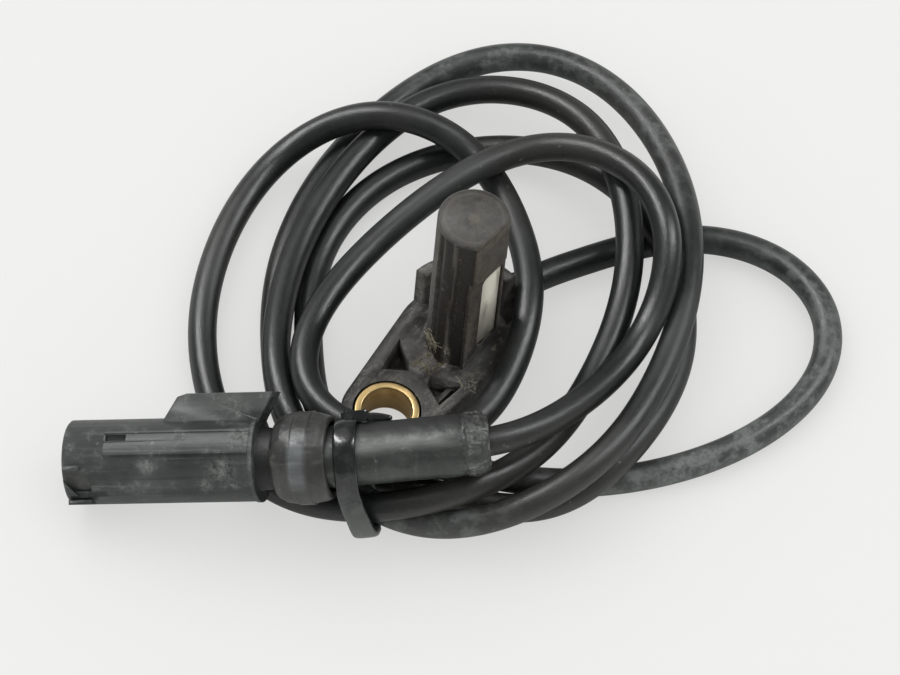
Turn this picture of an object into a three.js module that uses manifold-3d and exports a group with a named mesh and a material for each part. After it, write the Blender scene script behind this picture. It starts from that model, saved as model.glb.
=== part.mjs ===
// Wheel speed sensor with its cable, cable tie and plug connector.
// Millimetres, +Z up. The origin is under the middle of the sensor head, on the surface it stands on.
import * as THREE from "three";
import { mergeVertices } from "three/addons/utils/BufferGeometryUtils.js";
import Module from "manifold-3d";

const wasm = await Module();
wasm.setup();

// Clearance between pieces that touch, and a small overlap for parts of one moulding
const GAP = 0.3;
const WELD = 0.05;

// Sensor head: place and turn on the surface
const HEAD_X = 3.7;
const HEAD_Y = 4.7;
const HEAD_TURN = 54.5;

// Flange
const FLANGE_T = 6;
const FLANGE_EDGE = 0.4;
const BOLT_PITCH = 18.5;
const BOLT_BOSS_R = 7.5;
const DISC_R = 10.9;
const FLANGE_RIGHT = 8;
const POCKET_FLOOR = 1.6;
const POCKET_RIB_T = 0.8;
const POCKET_RIB_H = 3.4;

// Brass bush for an M8 screw
const BUSH_R = 5.3;
const BUSH_BORE_R = 4.1;
const BUSH_PROUD = 0.2;
const BUSH_CHAMFER = 0.35;

// Probe
const PROBE_R = 5.83;
const PROBE_TOP = 41.2;
const PROBE_TIP = 1.1;
const PROBE_STEP = 30;
const PROBE_FLAT = 4.36;
const PROBE_FLAT_LOW = 3.9;
const PROBE_GROOVE = 0.55;
const RIB_HALF_ANGLE = 10.5;
const GATE_R = 0.9;
const GATE_DEPTH = 0.2;

// Locating collar behind the probe
const COLLAR_T = 2.2;
const COLLAR_TOP = 14.8;
const COLLAR_FROM = -10;
const COLLAR_TO = 86;

// Cavity, window and the inner pieces of the probe
const CAVITY = { u0: -3.2, u1: 4.2, w0: -3, w1: 2.2, z0: 7.2, z1: 37.5 };
const WINDOW = { u0: -1.2, u1: 3.8, z0: 8.3, z1: 28.3, r: 1.2 };
const WINDOW_PAD_SET = 0.25;
const MAGNET = { width: 4.2, length: 6, depth: 2 };
const CHIP = { width: 4.4, length: 3, depth: 1.1 };
const CHIP_BELOW_TOP = 0.6;
const TERMINAL_W = 0.8;
const TERMINAL_T = 0.35;
const TERMINAL_PITCH = 2.2;
const TERMINAL_FOOT = 1.2;

// Cable boss on the head
const CABLE_BOSS_END = 13.5;
const CABLE_BOSS_START = 7;
const CABLE_BOSS_R = 4.1;
const CABLE_BOSS_TIP_R = 3.5;
const CABLE_BOSS_Z = 4.9;
const CABLE_SEAT = 4.5;

// Cable
const CABLE_D = 4.7;
const CABLE_SIDES = 8;
const STEPS_PER_SPAN = 2;

// Plug connector: its axis runs from the middle of the mouth to the cable
const PLUG_MOUTH = new THREE.Vector3(-56.6, -26.9, 6.65);
const PLUG_YAW = -0.8;
const PLUG_PITCH = 14.6;
const PLUG_ROLL = -57;

// Housing
const HOUSING_R = 6.75;
const HOUSING_L = 31.9;
const HOUSING_WALL = 0.9;
const REAR_BORE_R = 5;
const SOCKET_DEPTH = 16;
const RIM_LIP = 0.15;
const RIM_LIP_L = 0.7;
const KEEL_HALF_W = 2.6;
const KEEL_SLOT_HALF_W = 1.5;
const KEEL_TOP = 10.6;
const KEEL_START = 15.9;
const KEEL_RAMP_L = 3;
const KEEL_OVERHANG = 2.6;
const RAIL_FROM = 8.5;
const RAIL_TO = 43;
const RAIL_START = 7.2;
const RAIL_END = 31.2;
const RAIL_PROUD = 0.25;
const RAIL_EDGE_PROUD = 0.45;
const RAIL_EDGE_ANGLE = 4;
const NOTCH = { length: 4.8, z0: -5.9, z1: -1.6 };
const LUG_T = 0.8;
const LUG_PROUD = 0.8;

// Terminal carrier and contacts
const CORE_R = 4.4;
const CORE_START = 1.8;
const CARRIER_END = 26.4;
const CONTACT_PITCH = 3.4;
const CONTACT_HALF = 0.85;
const CONTACT_START = 3;
const CONTACT_L = 15;
const CORE_SEAL = { x0: 13, x1: 15.6 };
const WIRE_R = 0.8;
const WIRE_SEAL = { x0: 26.8, x1: 29.6, r: 1.45 };
const WIRE_SPREAD = 1;

// Neck ring, boot and strain relief sleeve
const NECK = { x0: 30.2, x1: 33.4, shoulder: 32.2, r: 4.95 };
const NECK_BORE_R = 3.5;
const BOOT = { x0: 33.7, x1: 43.4, ridge: 39.8 };
const BOOT_FRONT_R = 6.6;
const BOOT_R = 7.45;
const BOOT_REAR_R = 7.1;
const BOOT_BORE_CLEARANCE = 0.6;
const BOOT_BORE_L = 4.2;

// The sleeve starts inside the boot's bore, about which it bends away from the plug's axis
const SLEEVE_YAW = 9.4;
const SLEEVE_PITCH = 6.3;
const SLEEVE_IN_BOOT = 1.3;
const SLEEVE_L = 27.7;
const SLEEVE_R = 4.95;
const SLEEVE_COLLAR_L = 4.3;
const SLEEVE_COLLAR_R = 5.15;
const SLEEVE_SEAT = 20;
const SLEEVE_MOUTH = { length: 1.5, flare: 0.5 };
const SLEEVE_MARK = { x: 12.4, z: -1.3, r: 1.4, depth: 0.25 };

// Cable tie
const TIE_X = 4.9;
const TIE_W = 3.6;
const TIE_T = 0.9;
const TIE_GAP = 0.2;
const TIE_REACH = 13.2;
const TIED_BELOW = 1;
const TIE_HEAD = { x0: 3.4, x1: 7.8, y0: -0.8, y1: 4.6, height: 1.5 };
const TIE_TAIL = { length: 3, y0: 0.9, y1: 3.4, thickness: 0.8 };

// Cable route: points on its middle line, from the sensor head to the strain relief sleeve
const ROUTE = [
  [8.9, 12, 4.9],
  [11.6, 15.7, 4.9],
  [13.8, 18.3, 4.6],
  [20.3, 22.2, 3],
  [29.4, 28.6, 2.5],
  [45.1, 31.6, 2.5],
  [58.9, 25.4, 3.2],
  [64, 13.3, 3.1],
  [58.7, 0.3, 2.6],
  [43.3, -12.1, 2.5],
  [20.6, -18.9, 2.9],
  [-6.9, -19.2, 8.1],
  [-14.3, -17.1, 7.1],
  [-17.7, -10.6, 3.5],
  [-21.6, 17, 2.5],
  [-14.1, 33.7, 3.1],
  [-0.9, 43.1, 2.9],
  [15.4, 44.1, 4.7],
  [29.4, 35.2, 7.1],
  [37.7, 20.8, 6.8],
  [39.2, 3.4, 6.3],
  [29.9, -17.3, 7.9],
  [19.6, -24.6, 3.9],
  [-5, -21.3, 2.5],
  [-18.1, -18.9, 2.5],
  [-22.7, -11.9, 2.4],
  [-27.3, 12.5, 2.5],
  [-22.7, 34.1, 2.7],
  [-11.9, 51.4, 3.2],
  [2.8, 62, 4.8],
  [17.7, 61.8, 5.8],
  [28.8, 53.2, 6.6],
  [37.8, 33.5, 10.4],
  [39.4, 13.8, 11.5],
  [34.6, -6.1, 12.1],
  [26.5, -21.2, 13.3],
  [11.7, -30.5, 9.5],
  [-3.4, -30.2, 5.6],
  [-15.8, -22.6, 7.2],
  [-23.6, -13.4, 9],
  [-25.8, 10.8, 7.3],
  [-20.2, 31.4, 6.3],
  [-8.8, 48.6, 6.3],
  [3.7, 54.7, 6.6],
  [16.8, 51.9, 7.7],
  [26.2, 37.9, 11.5],
  [29.8, 18.7, 10.7],
  [25.9, -0.7, 9.5],
  [16.8, -19, 10.5],
  [2.9, -29.5, 12.7],
  [-9.1, -31.1, 9.3],
  [-25.6, -25.1, 4.1],
  [-35.7, -8.9, 2.9],
  [-38.7, 6.6, 3.4],
  [-35.1, 27.2, 3.9],
  [-25.7, 41.4, 5.4],
  [-12.2, 43.6, 11.9],
  [1.3, 41.5, 7.8],
  [10.5, 25.7, 9.6],
  [14.2, 9.2, 11.5],
  [8, -12, 9.1],
  [-0.9, -19.1, 12],
  [-8, -18.6, 13],
  [-17.1, -16, 11.7],
  [-21.4, -3.5, 11.4],
  [-13.4, 16.1, 10.8],
  [1.3, 31.8, 13.3],
  [14, 39.9, 12.7],
  [26.4, 35.6, 16.6],
  [35.5, 20.6, 19.1],
  [33.3, 6.1, 12.5],
  [24.7, -9.5, 15.2],
  [17.6, -17.6, 17.9],
  [12.2, -22.8, 20.4],
  [8.1, -23.5, 19.9],
  [-2.1, -25.2, 18.8],
  [-9.6, -26.4, 18],
];

const MATERIALS = {
  body: plastic(0x2f2e2b, 0.55),
  brass: metal(0xc9a35a, 0.35),
  carrier: plastic(0xbdb596, 0.6),
  magnet: metal(0x6d6f70, 0.4),
  chip: plastic(0x1b1b1c, 0.4),
  copper: metal(0xb98d5c, 0.35),
  sheath: plastic(0x2e3032, 0.45),
  housing: plastic(0x434845, 0.6),
  insert: plastic(0x6f726e, 0.6),
  silicone: plastic(0x8f5a3a, 0.7),
  rubber: plastic(0x3b3d3c, 0.65),
  tie: plastic(0x1c1e1e, 0.3),
  wire: plastic(0x8a8f93, 0.5),
};

function plastic(color, roughness) {
  return new THREE.MeshStandardMaterial({ color, roughness, metalness: 0 });
}

function metal(color, roughness) {
  return new THREE.MeshStandardMaterial({ color, roughness, metalness: 1 });
}

// Closed mesh to solid and back
function solid(geometry) {
  const bare = geometry.clone();
  bare.deleteAttribute("normal");
  bare.deleteAttribute("uv");
  const merged = mergeVertices(bare, 1e-4);
  const index = merged.index.array;
  const corner = (i) => new THREE.Vector3().fromBufferAttribute(merged.attributes.position, index[i]);
  const triangles = [];
  let volume = 0;
  for (let i = 0; i < index.length; i += 3) {
    const [a, b, c] = index.slice(i, i + 3);
    if (a === b || b === c || c === a) continue;
    triangles.push([a, b, c]);
    volume += corner(i).dot(corner(i + 1).cross(corner(i + 2)));
  }
  const outward = volume < 0 ? triangles.map(([a, b, c]) => [a, c, b]) : triangles;
  return new wasm.Manifold(new wasm.Mesh({
    numProp: 3,
    vertProperties: new Float32Array(merged.attributes.position.array),
    triVerts: new Uint32Array(outward.flat()),
  }));
}

function toGeometry(body) {
  const mesh = body.getMesh();
  const geometry = new THREE.BufferGeometry();
  geometry.setAttribute("position", new THREE.BufferAttribute(new Float32Array(mesh.vertProperties), 3));
  geometry.setIndex(new THREE.BufferAttribute(new Uint32Array(mesh.triVerts), 1));
  geometry.computeVertexNormals();
  return geometry;
}

function join(bodies) {
  return bodies.reduce((sum, body) => sum.add(body));
}

function piece(name, body, material) {
  const mesh = new THREE.Mesh(toGeometry(body), material);
  mesh.name = name;
  return mesh;
}

// Box between two corners
function block(x0, x1, y0, y1, z0, z1) {
  const box = new THREE.BoxGeometry(x1 - x0, y1 - y0, z1 - z0);
  box.translate((x0 + x1) / 2, (y0 + y1) / 2, (z0 + z1) / 2);
  return solid(box);
}

// Flat outline raised from z0 to z1, with an even chamfer where one is given
function raised(shape, z0, z1, edge = 0, curveSegments = 12) {
  const geometry = new THREE.ExtrudeGeometry(shape, {
    depth: z1 - z0 - 2 * edge,
    bevelEnabled: edge > 0,
    bevelThickness: edge,
    bevelSize: edge,
    bevelOffset: -edge,
    bevelSegments: 1,
    curveSegments,
  });
  geometry.translate(0, 0, z0 + edge);
  return solid(geometry);
}

function polygon(points) {
  return new THREE.Shape(points.map(([x, y]) => new THREE.Vector2(x, y)));
}

// Profile of [x, r] points turned about the X axis
function turnedAlongX(profile, segments = 40) {
  const geometry = new THREE.LatheGeometry(profile.map(([x, r]) => new THREE.Vector2(r, x)), segments);
  geometry.rotateZ(-Math.PI / 2);
  return solid(geometry);
}

// Profile of [r, z] points turned about the Z axis
function turnedAlongZ(profile, segments = 40) {
  const geometry = new THREE.LatheGeometry(profile.map(([r, z]) => new THREE.Vector2(r, z)), segments);
  geometry.rotateX(Math.PI / 2);
  return solid(geometry);
}

// Sector of a ring, raised along Z
function ringSector(rIn, rOut, fromDeg, toDeg, z0, z1, edge = 0, curveSegments = 12) {
  const a0 = THREE.MathUtils.degToRad(fromDeg);
  const a1 = THREE.MathUtils.degToRad(toDeg);
  const shape = new THREE.Shape();
  shape.absarc(0, 0, rOut, a0, a1, false);
  shape.absarc(0, 0, rIn, a1, a0, true);
  shape.closePath();
  return raised(shape, z0, z1, edge, curveSegments);
}

// Flange outline: a boss round the bolt, a round seat under the probe, a straight side beside the flat
function flangeOutline() {
  const lean = Math.asin((DISC_R - BOLT_BOSS_R) / BOLT_PITCH);
  const cornerAngle = -Math.asin(FLANGE_RIGHT / DISC_R);
  const shape = new THREE.Shape();
  shape.absarc(0, 0, DISC_R, cornerAngle, Math.PI / 2 + lean, false);
  shape.absarc(-BOLT_PITCH, 0, BOLT_BOSS_R, Math.PI / 2 + lean, 1.5 * Math.PI, false);
  shape.closePath();
  return shape;
}

// Probe section: round, with a flat on its right side and a groove each side of the front rib
function probeOutline(flat, groove) {
  const points = [];
  const flatHalf = THREE.MathUtils.radToDeg(Math.acos(flat / PROBE_R));
  const ribEdges = [180 - RIB_HALF_ANGLE, 180 + RIB_HALF_ANGLE];
  const outer = [180 - RIB_HALF_ANGLE - 14, 270 - flatHalf - 3];
  const at = (deg, r) => {
    const a = THREE.MathUtils.degToRad(deg);
    points.push([r * Math.cos(a), r * Math.sin(a)]);
  };
  const arc = (from, to, r) => {
    const count = Math.max(1, Math.round((to - from) / 9));
    for (let i = 0; i <= count; i++) at(from + ((to - from) * i) / count, r);
  };
  arc(flatHalf - 90, outer[0], PROBE_R);
  arc(outer[0] + 0.6, ribEdges[0] - 0.6, PROBE_R - groove);
  arc(ribEdges[0], ribEdges[1], PROBE_R);
  arc(ribEdges[1] + 0.6, outer[1] - 0.6, PROBE_R - groove);
  arc(outer[1], 270 - flatHalf, PROBE_R);
  return polygon(points);
}

function probe() {
  const tipStart = PROBE_TOP - PROBE_TIP;
  const gate = turnedAlongZ([[0, PROBE_TOP - GATE_DEPTH], [GATE_R, PROBE_TOP], [GATE_R, PROBE_TOP + 1], [0, PROBE_TOP + 1]], 12);
  return join([
    raised(probeOutline(PROBE_FLAT_LOW, PROBE_GROOVE), FLANGE_T - WELD, PROBE_STEP),
    raised(probeOutline(PROBE_FLAT, PROBE_GROOVE), PROBE_STEP - WELD, tipStart),
    raised(probeOutline(PROBE_FLAT, 0.02), tipStart - WELD, PROBE_TOP, 0.4),
  ]).subtract(gate);
}

// Two open pockets between the bolt boss, the seat and the rim
function flangePockets() {
  const left = polygon([[-6.7, 7.5], [-13.2, 5.9], [-10.3, 2.2], [-9.3, 3.1]]);
  const right = polygon([[-8.6, -0.9], [-10.3, -1.2], [-12.1, -5.6], [-6.2, -6.1]]);
  const rib = block(-12, -7, -3.9 - POCKET_RIB_T / 2, -3.9 + POCKET_RIB_T / 2, POCKET_FLOOR - WELD, POCKET_RIB_H);
  return raised(left, POCKET_FLOOR, FLANGE_T + 1).add(raised(right, POCKET_FLOOR, FLANGE_T + 1).subtract(rib));
}

function windowOpening() {
  const { u0, u1, z0, z1, r } = WINDOW;
  const shape = new THREE.Shape();
  shape.moveTo(u0 + r, z0);
  shape.absarc(u1 - r, z0 + r, r, -Math.PI / 2, 0, false);
  shape.absarc(u1 - r, z1 - r, r, 0, Math.PI / 2, false);
  shape.absarc(u0 + r, z1 - r, r, Math.PI / 2, Math.PI, false);
  shape.absarc(u0 + r, z0 + r, r, Math.PI, 1.5 * Math.PI, false);
  const geometry = new THREE.ExtrudeGeometry(shape, { depth: 4, bevelEnabled: false, curveSegments: 4 });
  geometry.rotateX(Math.PI / 2);
  geometry.translate(0, CAVITY.w0 + WELD, 0);
  return solid(geometry);
}

function sensorBody() {
  const bushHole = turnedAlongZ([[0, -1], [BUSH_R + GAP, -1], [BUSH_R + GAP, FLANGE_T + 1], [0, FLANGE_T + 1]], 36)
    .translate([-BOLT_PITCH, 0, 0]);
  const boss = turnedAlongX([
    [CABLE_BOSS_START, 0], [CABLE_BOSS_START, CABLE_BOSS_R], [CABLE_BOSS_END - 2, CABLE_BOSS_R],
    [CABLE_BOSS_END, CABLE_BOSS_TIP_R], [CABLE_BOSS_END, 0],
  ], 28).translate([0, 0, CABLE_BOSS_Z]);
  const seatR = CABLE_D / 2 + GAP;
  const cableSeat = turnedAlongX([
    [CABLE_BOSS_END - CABLE_SEAT - GAP, 0], [CABLE_BOSS_END - CABLE_SEAT - GAP, seatR],
    [CABLE_BOSS_END + 1, seatR], [CABLE_BOSS_END + 1, 0],
  ], 20).translate([0, 0, CABLE_BOSS_Z]);
  const cavity = block(CAVITY.u0, CAVITY.u1, CAVITY.w0, CAVITY.w1, CAVITY.z0, CAVITY.z1);
  return raised(flangeOutline(), 0, FLANGE_T, FLANGE_EDGE)
    .subtract(flangePockets())
    .subtract(bushHole)
    .add(probe())
    .add(ringSector(DISC_R - COLLAR_T, DISC_R, COLLAR_FROM, COLLAR_TO, FLANGE_T - 1, COLLAR_TOP, FLANGE_EDGE))
    .add(boss)
    .subtract(cavity)
    .subtract(windowOpening())
    .subtract(cableSeat);
}

function boltBush() {
  const z0 = 0;
  const z1 = FLANGE_T + BUSH_PROUD;
  const c = BUSH_CHAMFER;
  return turnedAlongZ([
    [BUSH_BORE_R + c, z0], [BUSH_R - c, z0], [BUSH_R, z0 + c], [BUSH_R, z1 - c],
    [BUSH_R - c, z1], [BUSH_BORE_R + c, z1], [BUSH_BORE_R, z1 - c], [BUSH_BORE_R, z0 + c], [BUSH_BORE_R + c, z0],
  ], 40).translate([-BOLT_PITCH, 0, 0]);
}

// Places inside the probe that the carrier and what it holds share
const carrierBox = {
  u0: CAVITY.u0 + GAP, u1: CAVITY.u1 - GAP, w0: CAVITY.w0 + GAP, w1: CAVITY.w1 - GAP,
  z0: CAVITY.z0 + GAP, z1: CAVITY.z1 - GAP,
};
const carrierMid = (carrierBox.u0 + carrierBox.u1) / 2;
const chipPlace = {
  u0: carrierMid - CHIP.width / 2, u1: carrierMid + CHIP.width / 2,
  w0: carrierBox.w1 - CHIP.depth, w1: carrierBox.w1,
  z0: carrierBox.z1 - CHIP_BELOW_TOP - CHIP.length, z1: carrierBox.z1 - CHIP_BELOW_TOP,
};
const magnetPlace = {
  u0: carrierMid - MAGNET.width / 2, u1: carrierMid + MAGNET.width / 2,
  w0: carrierBox.w1 - MAGNET.depth - TERMINAL_T - GAP, w1: carrierBox.w1 - TERMINAL_T - GAP,
  z0: chipPlace.z0 - 1.2 - MAGNET.length, z1: chipPlace.z0 - 1.2,
};

function boxOf(place, grow = 0, wTop = place.w1 + grow) {
  return block(place.u0 - grow, place.u1 + grow, place.w0 - grow, wTop, place.z0 - grow, place.z1 + grow);
}

function terminalPlace(side) {
  const u = carrierMid + (side * TERMINAL_PITCH) / 2;
  return {
    u0: u - TERMINAL_W / 2, u1: u + TERMINAL_W / 2,
    w0: carrierBox.w1 - TERMINAL_T, w1: carrierBox.w1,
    z0: carrierBox.z0 + TERMINAL_FOOT, z1: chipPlace.z0 - GAP,
  };
}

function innerCarrier() {
  const open = carrierBox.w1 + 1;
  const pad = block(
    WINDOW.u0 + GAP, WINDOW.u1 - GAP, -PROBE_FLAT_LOW + WINDOW_PAD_SET, carrierBox.w0 + WELD,
    WINDOW.z0 + GAP + WINDOW.r / 2, WINDOW.z1 - GAP - WINDOW.r / 2,
  );
  return boxOf(carrierBox)
    .add(pad)
    .subtract(boxOf(chipPlace, GAP, open))
    .subtract(boxOf(magnetPlace, GAP, open))
    .subtract(boxOf(terminalPlace(-1), GAP, open))
    .subtract(boxOf(terminalPlace(1), GAP, open));
}

// Plug connector: X runs from the mouth to the rear, Z points to the keel
function sideRail() {
  const sector = (fromDeg, toDeg, proud) => {
    const body = ringSector(HOUSING_R - 0.3, HOUSING_R + proud, -90 - toDeg, -90 - fromDeg, RAIL_START, RAIL_END, 0, 5);
    return body.rotate([0, 90, 0]);
  };
  return join([
    sector(RAIL_FROM, RAIL_TO, RAIL_PROUD),
    sector(RAIL_FROM, RAIL_FROM + RAIL_EDGE_ANGLE, RAIL_EDGE_PROUD),
    sector(RAIL_TO - RAIL_EDGE_ANGLE, RAIL_TO, RAIL_EDGE_PROUD),
  ]);
}

function keelProfile(inset, rear) {
  return polygon([
    [KEEL_START + inset, HOUSING_R - 1.2 + inset],
    [KEEL_START + KEEL_RAMP_L + inset, KEEL_TOP - 0.5 - inset],
    [KEEL_START + KEEL_RAMP_L + 1.6 + inset, KEEL_TOP - inset],
    [HOUSING_L + KEEL_OVERHANG + rear, KEEL_TOP - inset],
    [HOUSING_L + rear, HOUSING_R - 1.2 + inset],
  ]);
}

// Outline in XZ, given a width either side of the middle
function upright(shape, halfW) {
  const geometry = new THREE.ExtrudeGeometry(shape, { depth: 2 * halfW, bevelEnabled: false });
  geometry.rotateX(Math.PI / 2);
  geometry.translate(0, halfW, 0);
  return solid(geometry);
}

function lug(z, x0, x1) {
  const reach = Math.sqrt((HOUSING_R + LUG_PROUD) ** 2 - z ** 2);
  const root = Math.sqrt(Math.max(0, (HOUSING_R - 0.6) ** 2 - z ** 2));
  return block(x0, x1, -reach, -root, z - LUG_T / 2, z + LUG_T / 2);
}

function connectorHousing() {
  const front = HOUSING_R - HOUSING_WALL;
  const shell = turnedAlongX([
    [0, front], [0, HOUSING_R - 0.3], [0.3, HOUSING_R], [HOUSING_L - RIM_LIP_L, HOUSING_R],
    [HOUSING_L - RIM_LIP_L, HOUSING_R + RIM_LIP], [HOUSING_L, HOUSING_R + RIM_LIP], [HOUSING_L, REAR_BORE_R],
    [SOCKET_DEPTH, REAR_BORE_R], [SOCKET_DEPTH, front], [0, front],
  ], 56);
  const clearBore = turnedAlongX([[-1, 0], [-1, REAR_BORE_R], [HOUSING_L + 8, REAR_BORE_R], [HOUSING_L + 8, 0]], 56);
  const keelSlot = upright(keelProfile(0.9, 3), KEEL_SLOT_HALF_W)
    .intersect(block(KEEL_START + 9, HOUSING_L + 9, -9, 9, HOUSING_R - 0.1, KEEL_TOP));
  const notchR = (NOTCH.z1 - NOTCH.z0) / 2;
  const notchShape = new THREE.Shape();
  notchShape.moveTo(-1, NOTCH.z0);
  notchShape.absarc(NOTCH.length - notchR, NOTCH.z0 + notchR, notchR, -Math.PI / 2, Math.PI / 2, false);
  notchShape.lineTo(-1, NOTCH.z1);
  const notch = upright(notchShape, 3).translate([0, -HOUSING_R, 0]);
  const railPocket = block(7.5, 11, -HOUSING_R - 1, -5, 3.3, 4.3);
  return shell
    .add(upright(keelProfile(0, 0), KEEL_HALF_W).subtract(clearBore))
    .add(sideRail())
    .subtract(keelSlot)
    .subtract(notch)
    .subtract(railPocket)
    .add(lug(-0.9, 0.4, 3.1))
    .add(lug(-6.3, 0.4, 4.4));
}

function rodAlongX(x0, x1, r, y, z, segments = 16) {
  return turnedAlongX([[x0, 0], [x0, r], [x1, r], [x1, 0]], segments).translate([0, y, z]);
}

function contactHole(y) {
  const h = CONTACT_HALF + GAP;
  return block(CORE_START - 1, CONTACT_START + CONTACT_L + GAP, y - h, y + h, -h, h)
    .add(rodAlongX(CONTACT_START + CONTACT_L, CARRIER_END + 1, WIRE_R + GAP, y, 0));
}

// Inner body of the plug: a round nose in the mouth and a flange seated in the rear bore
function terminalCarrier() {
  const seatR = REAR_BORE_R - GAP;
  const body = turnedAlongX([
    [CORE_START, 0], [CORE_START, CORE_R - 0.4], [CORE_START + 0.4, CORE_R], [CORE_SEAL.x0 - GAP, CORE_R],
    [CORE_SEAL.x0 - GAP, CORE_R - 0.7], [SOCKET_DEPTH + GAP, CORE_R - 0.7], [SOCKET_DEPTH + GAP, seatR],
    [CARRIER_END, seatR], [CARRIER_END, 0],
  ], 40);
  return body.subtract(contactHole(-CONTACT_PITCH / 2)).subtract(contactHole(CONTACT_PITCH / 2));
}

// Ring seal on the nose, with two lips
function coreSeal() {
  const rIn = CORE_R - 0.7 + GAP;
  const rOut = HOUSING_R - HOUSING_WALL - GAP;
  const { x0, x1 } = CORE_SEAL;
  const mid = (x0 + x1) / 2;
  return turnedAlongX([
    [x0, rIn], [x0, rOut - 0.3], [x0 + 0.5, rOut], [mid, rOut - 0.4], [x1 - 0.5, rOut], [x1, rOut - 0.3], [x1, rIn], [x0, rIn],
  ], 36);
}

// Socket contact: a folded box open at its nose, with a crimp at its tail
function contact(y) {
  const h = CONTACT_HALF;
  const mouth = h - 0.3;
  return block(CONTACT_START, CONTACT_START + CONTACT_L - 6, y - h, y + h, -h, h)
    .subtract(block(CONTACT_START - 1, CONTACT_START + 8, y - mouth, y + mouth, -mouth, mouth))
    .add(rodAlongX(CONTACT_START + CONTACT_L - 6 - WELD, CONTACT_START + CONTACT_L, h - 0.1, y, 0, 12));
}

function wireSeal(y) {
  const { x0, x1, r } = WIRE_SEAL;
  const rIn = WIRE_R + GAP;
  return turnedAlongX([
    [x0, rIn], [x0, r], [x0 + 0.8, r], [x0 + 1.1, r - 0.2], [x0 + 1.5, r], [x1, r], [x1, rIn], [x0, rIn],
  ], 20).translate([0, y, 0]);
}

// Insulated core from its contact, through the boot, to the cut end of the cable in the sleeve
function coreWire(side, plug, sleeve) {
  const y = (side * CONTACT_PITCH) / 2;
  const close = side * WIRE_SPREAD;
  const inPlug = [[CONTACT_START + CONTACT_L + GAP, y], [WIRE_SEAL.x1 + 0.5, y], [BOOT.x0 + 1.5, close], [BOOT.x1 - 3.5, close]];
  const inSleeve = [[0.5, close], [sleeveEnd - SLEEVE_SEAT - GAP, close]];
  const curve = new THREE.CatmullRomCurve3([
    ...inPlug.map(([x, w]) => plug.localToWorld(new THREE.Vector3(x, w, 0))),
    ...inSleeve.map(([x, w]) => sleeve.localToWorld(new THREE.Vector3(x, w, 0))),
  ], false, "centripetal");
  return tube(curve, WIRE_R, 8, 16);
}

function tube(curve, r, sides, steps) {
  const section = new THREE.Shape();
  for (let i = 0; i < sides; i++) {
    const a = (i / sides) * 2 * Math.PI;
    if (i === 0) section.moveTo(r, 0);
    else section.lineTo(r * Math.cos(a), r * Math.sin(a));
  }
  section.closePath();
  return solid(new THREE.ExtrudeGeometry(section, { steps, bevelEnabled: false, extrudePath: curve }));
}

// Retaining ring seated in the housing's rear bore, with a shoulder that stands out of it
function neckRing() {
  const { x0, x1, shoulder, r } = NECK;
  return turnedAlongX([
    [x0, NECK_BORE_R], [x0, REAR_BORE_R - GAP], [shoulder, REAR_BORE_R - GAP], [shoulder, r],
    [x1 - 0.3, r], [x1, r - 0.3], [x1, NECK_BORE_R], [x0, NECK_BORE_R],
  ], 40);
}

// Bell shaped rubber boot with a ridge round its middle
function boot() {
  const { x0, x1, ridge } = BOOT;
  const bore = SLEEVE_R + BOOT_BORE_CLEARANCE;
  return turnedAlongX([
    [x0, NECK_BORE_R], [x0, BOOT_FRONT_R - 0.6], [x0 + 0.5, BOOT_FRONT_R], [x0 + 3, BOOT_R - 0.1],
    [ridge - 0.3, BOOT_R], [ridge, BOOT_R + 0.15], [ridge + 0.4, BOOT_REAR_R],
    [x1 - 0.5, BOOT_REAR_R + 0.1], [x1, BOOT_REAR_R - 0.4], [x1, bore], [x1 - BOOT_BORE_L, bore],
    [x1 - BOOT_BORE_L, NECK_BORE_R], [x0, NECK_BORE_R],
  ], 44);
}

// Rubber sleeve: round nose, long parallel run and an uneven collar where the cable leaves it.
// Its X runs along it from the middle of what sits in the boot.
const sleeveEnd = SLEEVE_L - SLEEVE_IN_BOOT;

function strainRelief() {
  const x0 = -SLEEVE_IN_BOOT;
  const x1 = sleeveEnd;
  const collar = x1 - SLEEVE_COLLAR_L;
  const cableR = CABLE_D / 2 + GAP;
  const wireR = WIRE_SPREAD + WIRE_R + GAP;
  const seat = x1 - SLEEVE_SEAT - GAP;
  const { length, flare } = SLEEVE_MOUTH;
  const body = turnedAlongX([
    [x0, wireR], [x0, SLEEVE_R - 0.4], [x0 + 0.4, SLEEVE_R], [collar - 0.6, SLEEVE_R], [collar, SLEEVE_R - 0.1],
    [collar + 0.5, SLEEVE_COLLAR_R], [collar + 1.7, SLEEVE_COLLAR_R - 0.1], [collar + 2.2, SLEEVE_COLLAR_R + 0.05],
    [x1 - 0.8, SLEEVE_COLLAR_R - 0.1], [x1, SLEEVE_COLLAR_R - 0.8], [x1, cableR + flare], [x1 - length, cableR],
    [seat, cableR], [seat, wireR], [x0, wireR],
  ], 40);
  const mark = SLEEVE_MARK;
  const markCut = turnedAlongZ([[0, 0], [mark.r, 0], [mark.r, 9], [0, 9]], 20)
    .rotate([90, 0, 0])
    .translate([mark.x, mark.depth - Math.sqrt(SLEEVE_R ** 2 - mark.z ** 2), mark.z]);
  return body.subtract(markCut);
}

// Steps follow the points of the route, so that its tight bends get short ones
class CableCurve extends THREE.CatmullRomCurve3 {
  getUtoTmapping(u) {
    return u;
  }
}

const cableCurve = new CableCurve(ROUTE.map((p) => new THREE.Vector3(...p)), false, "centripetal");

function cable(clearance = 0) {
  return tube(cableCurve, CABLE_D / 2 + clearance, CABLE_SIDES, (ROUTE.length - 1) * STEPS_PER_SPAN);
}

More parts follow.
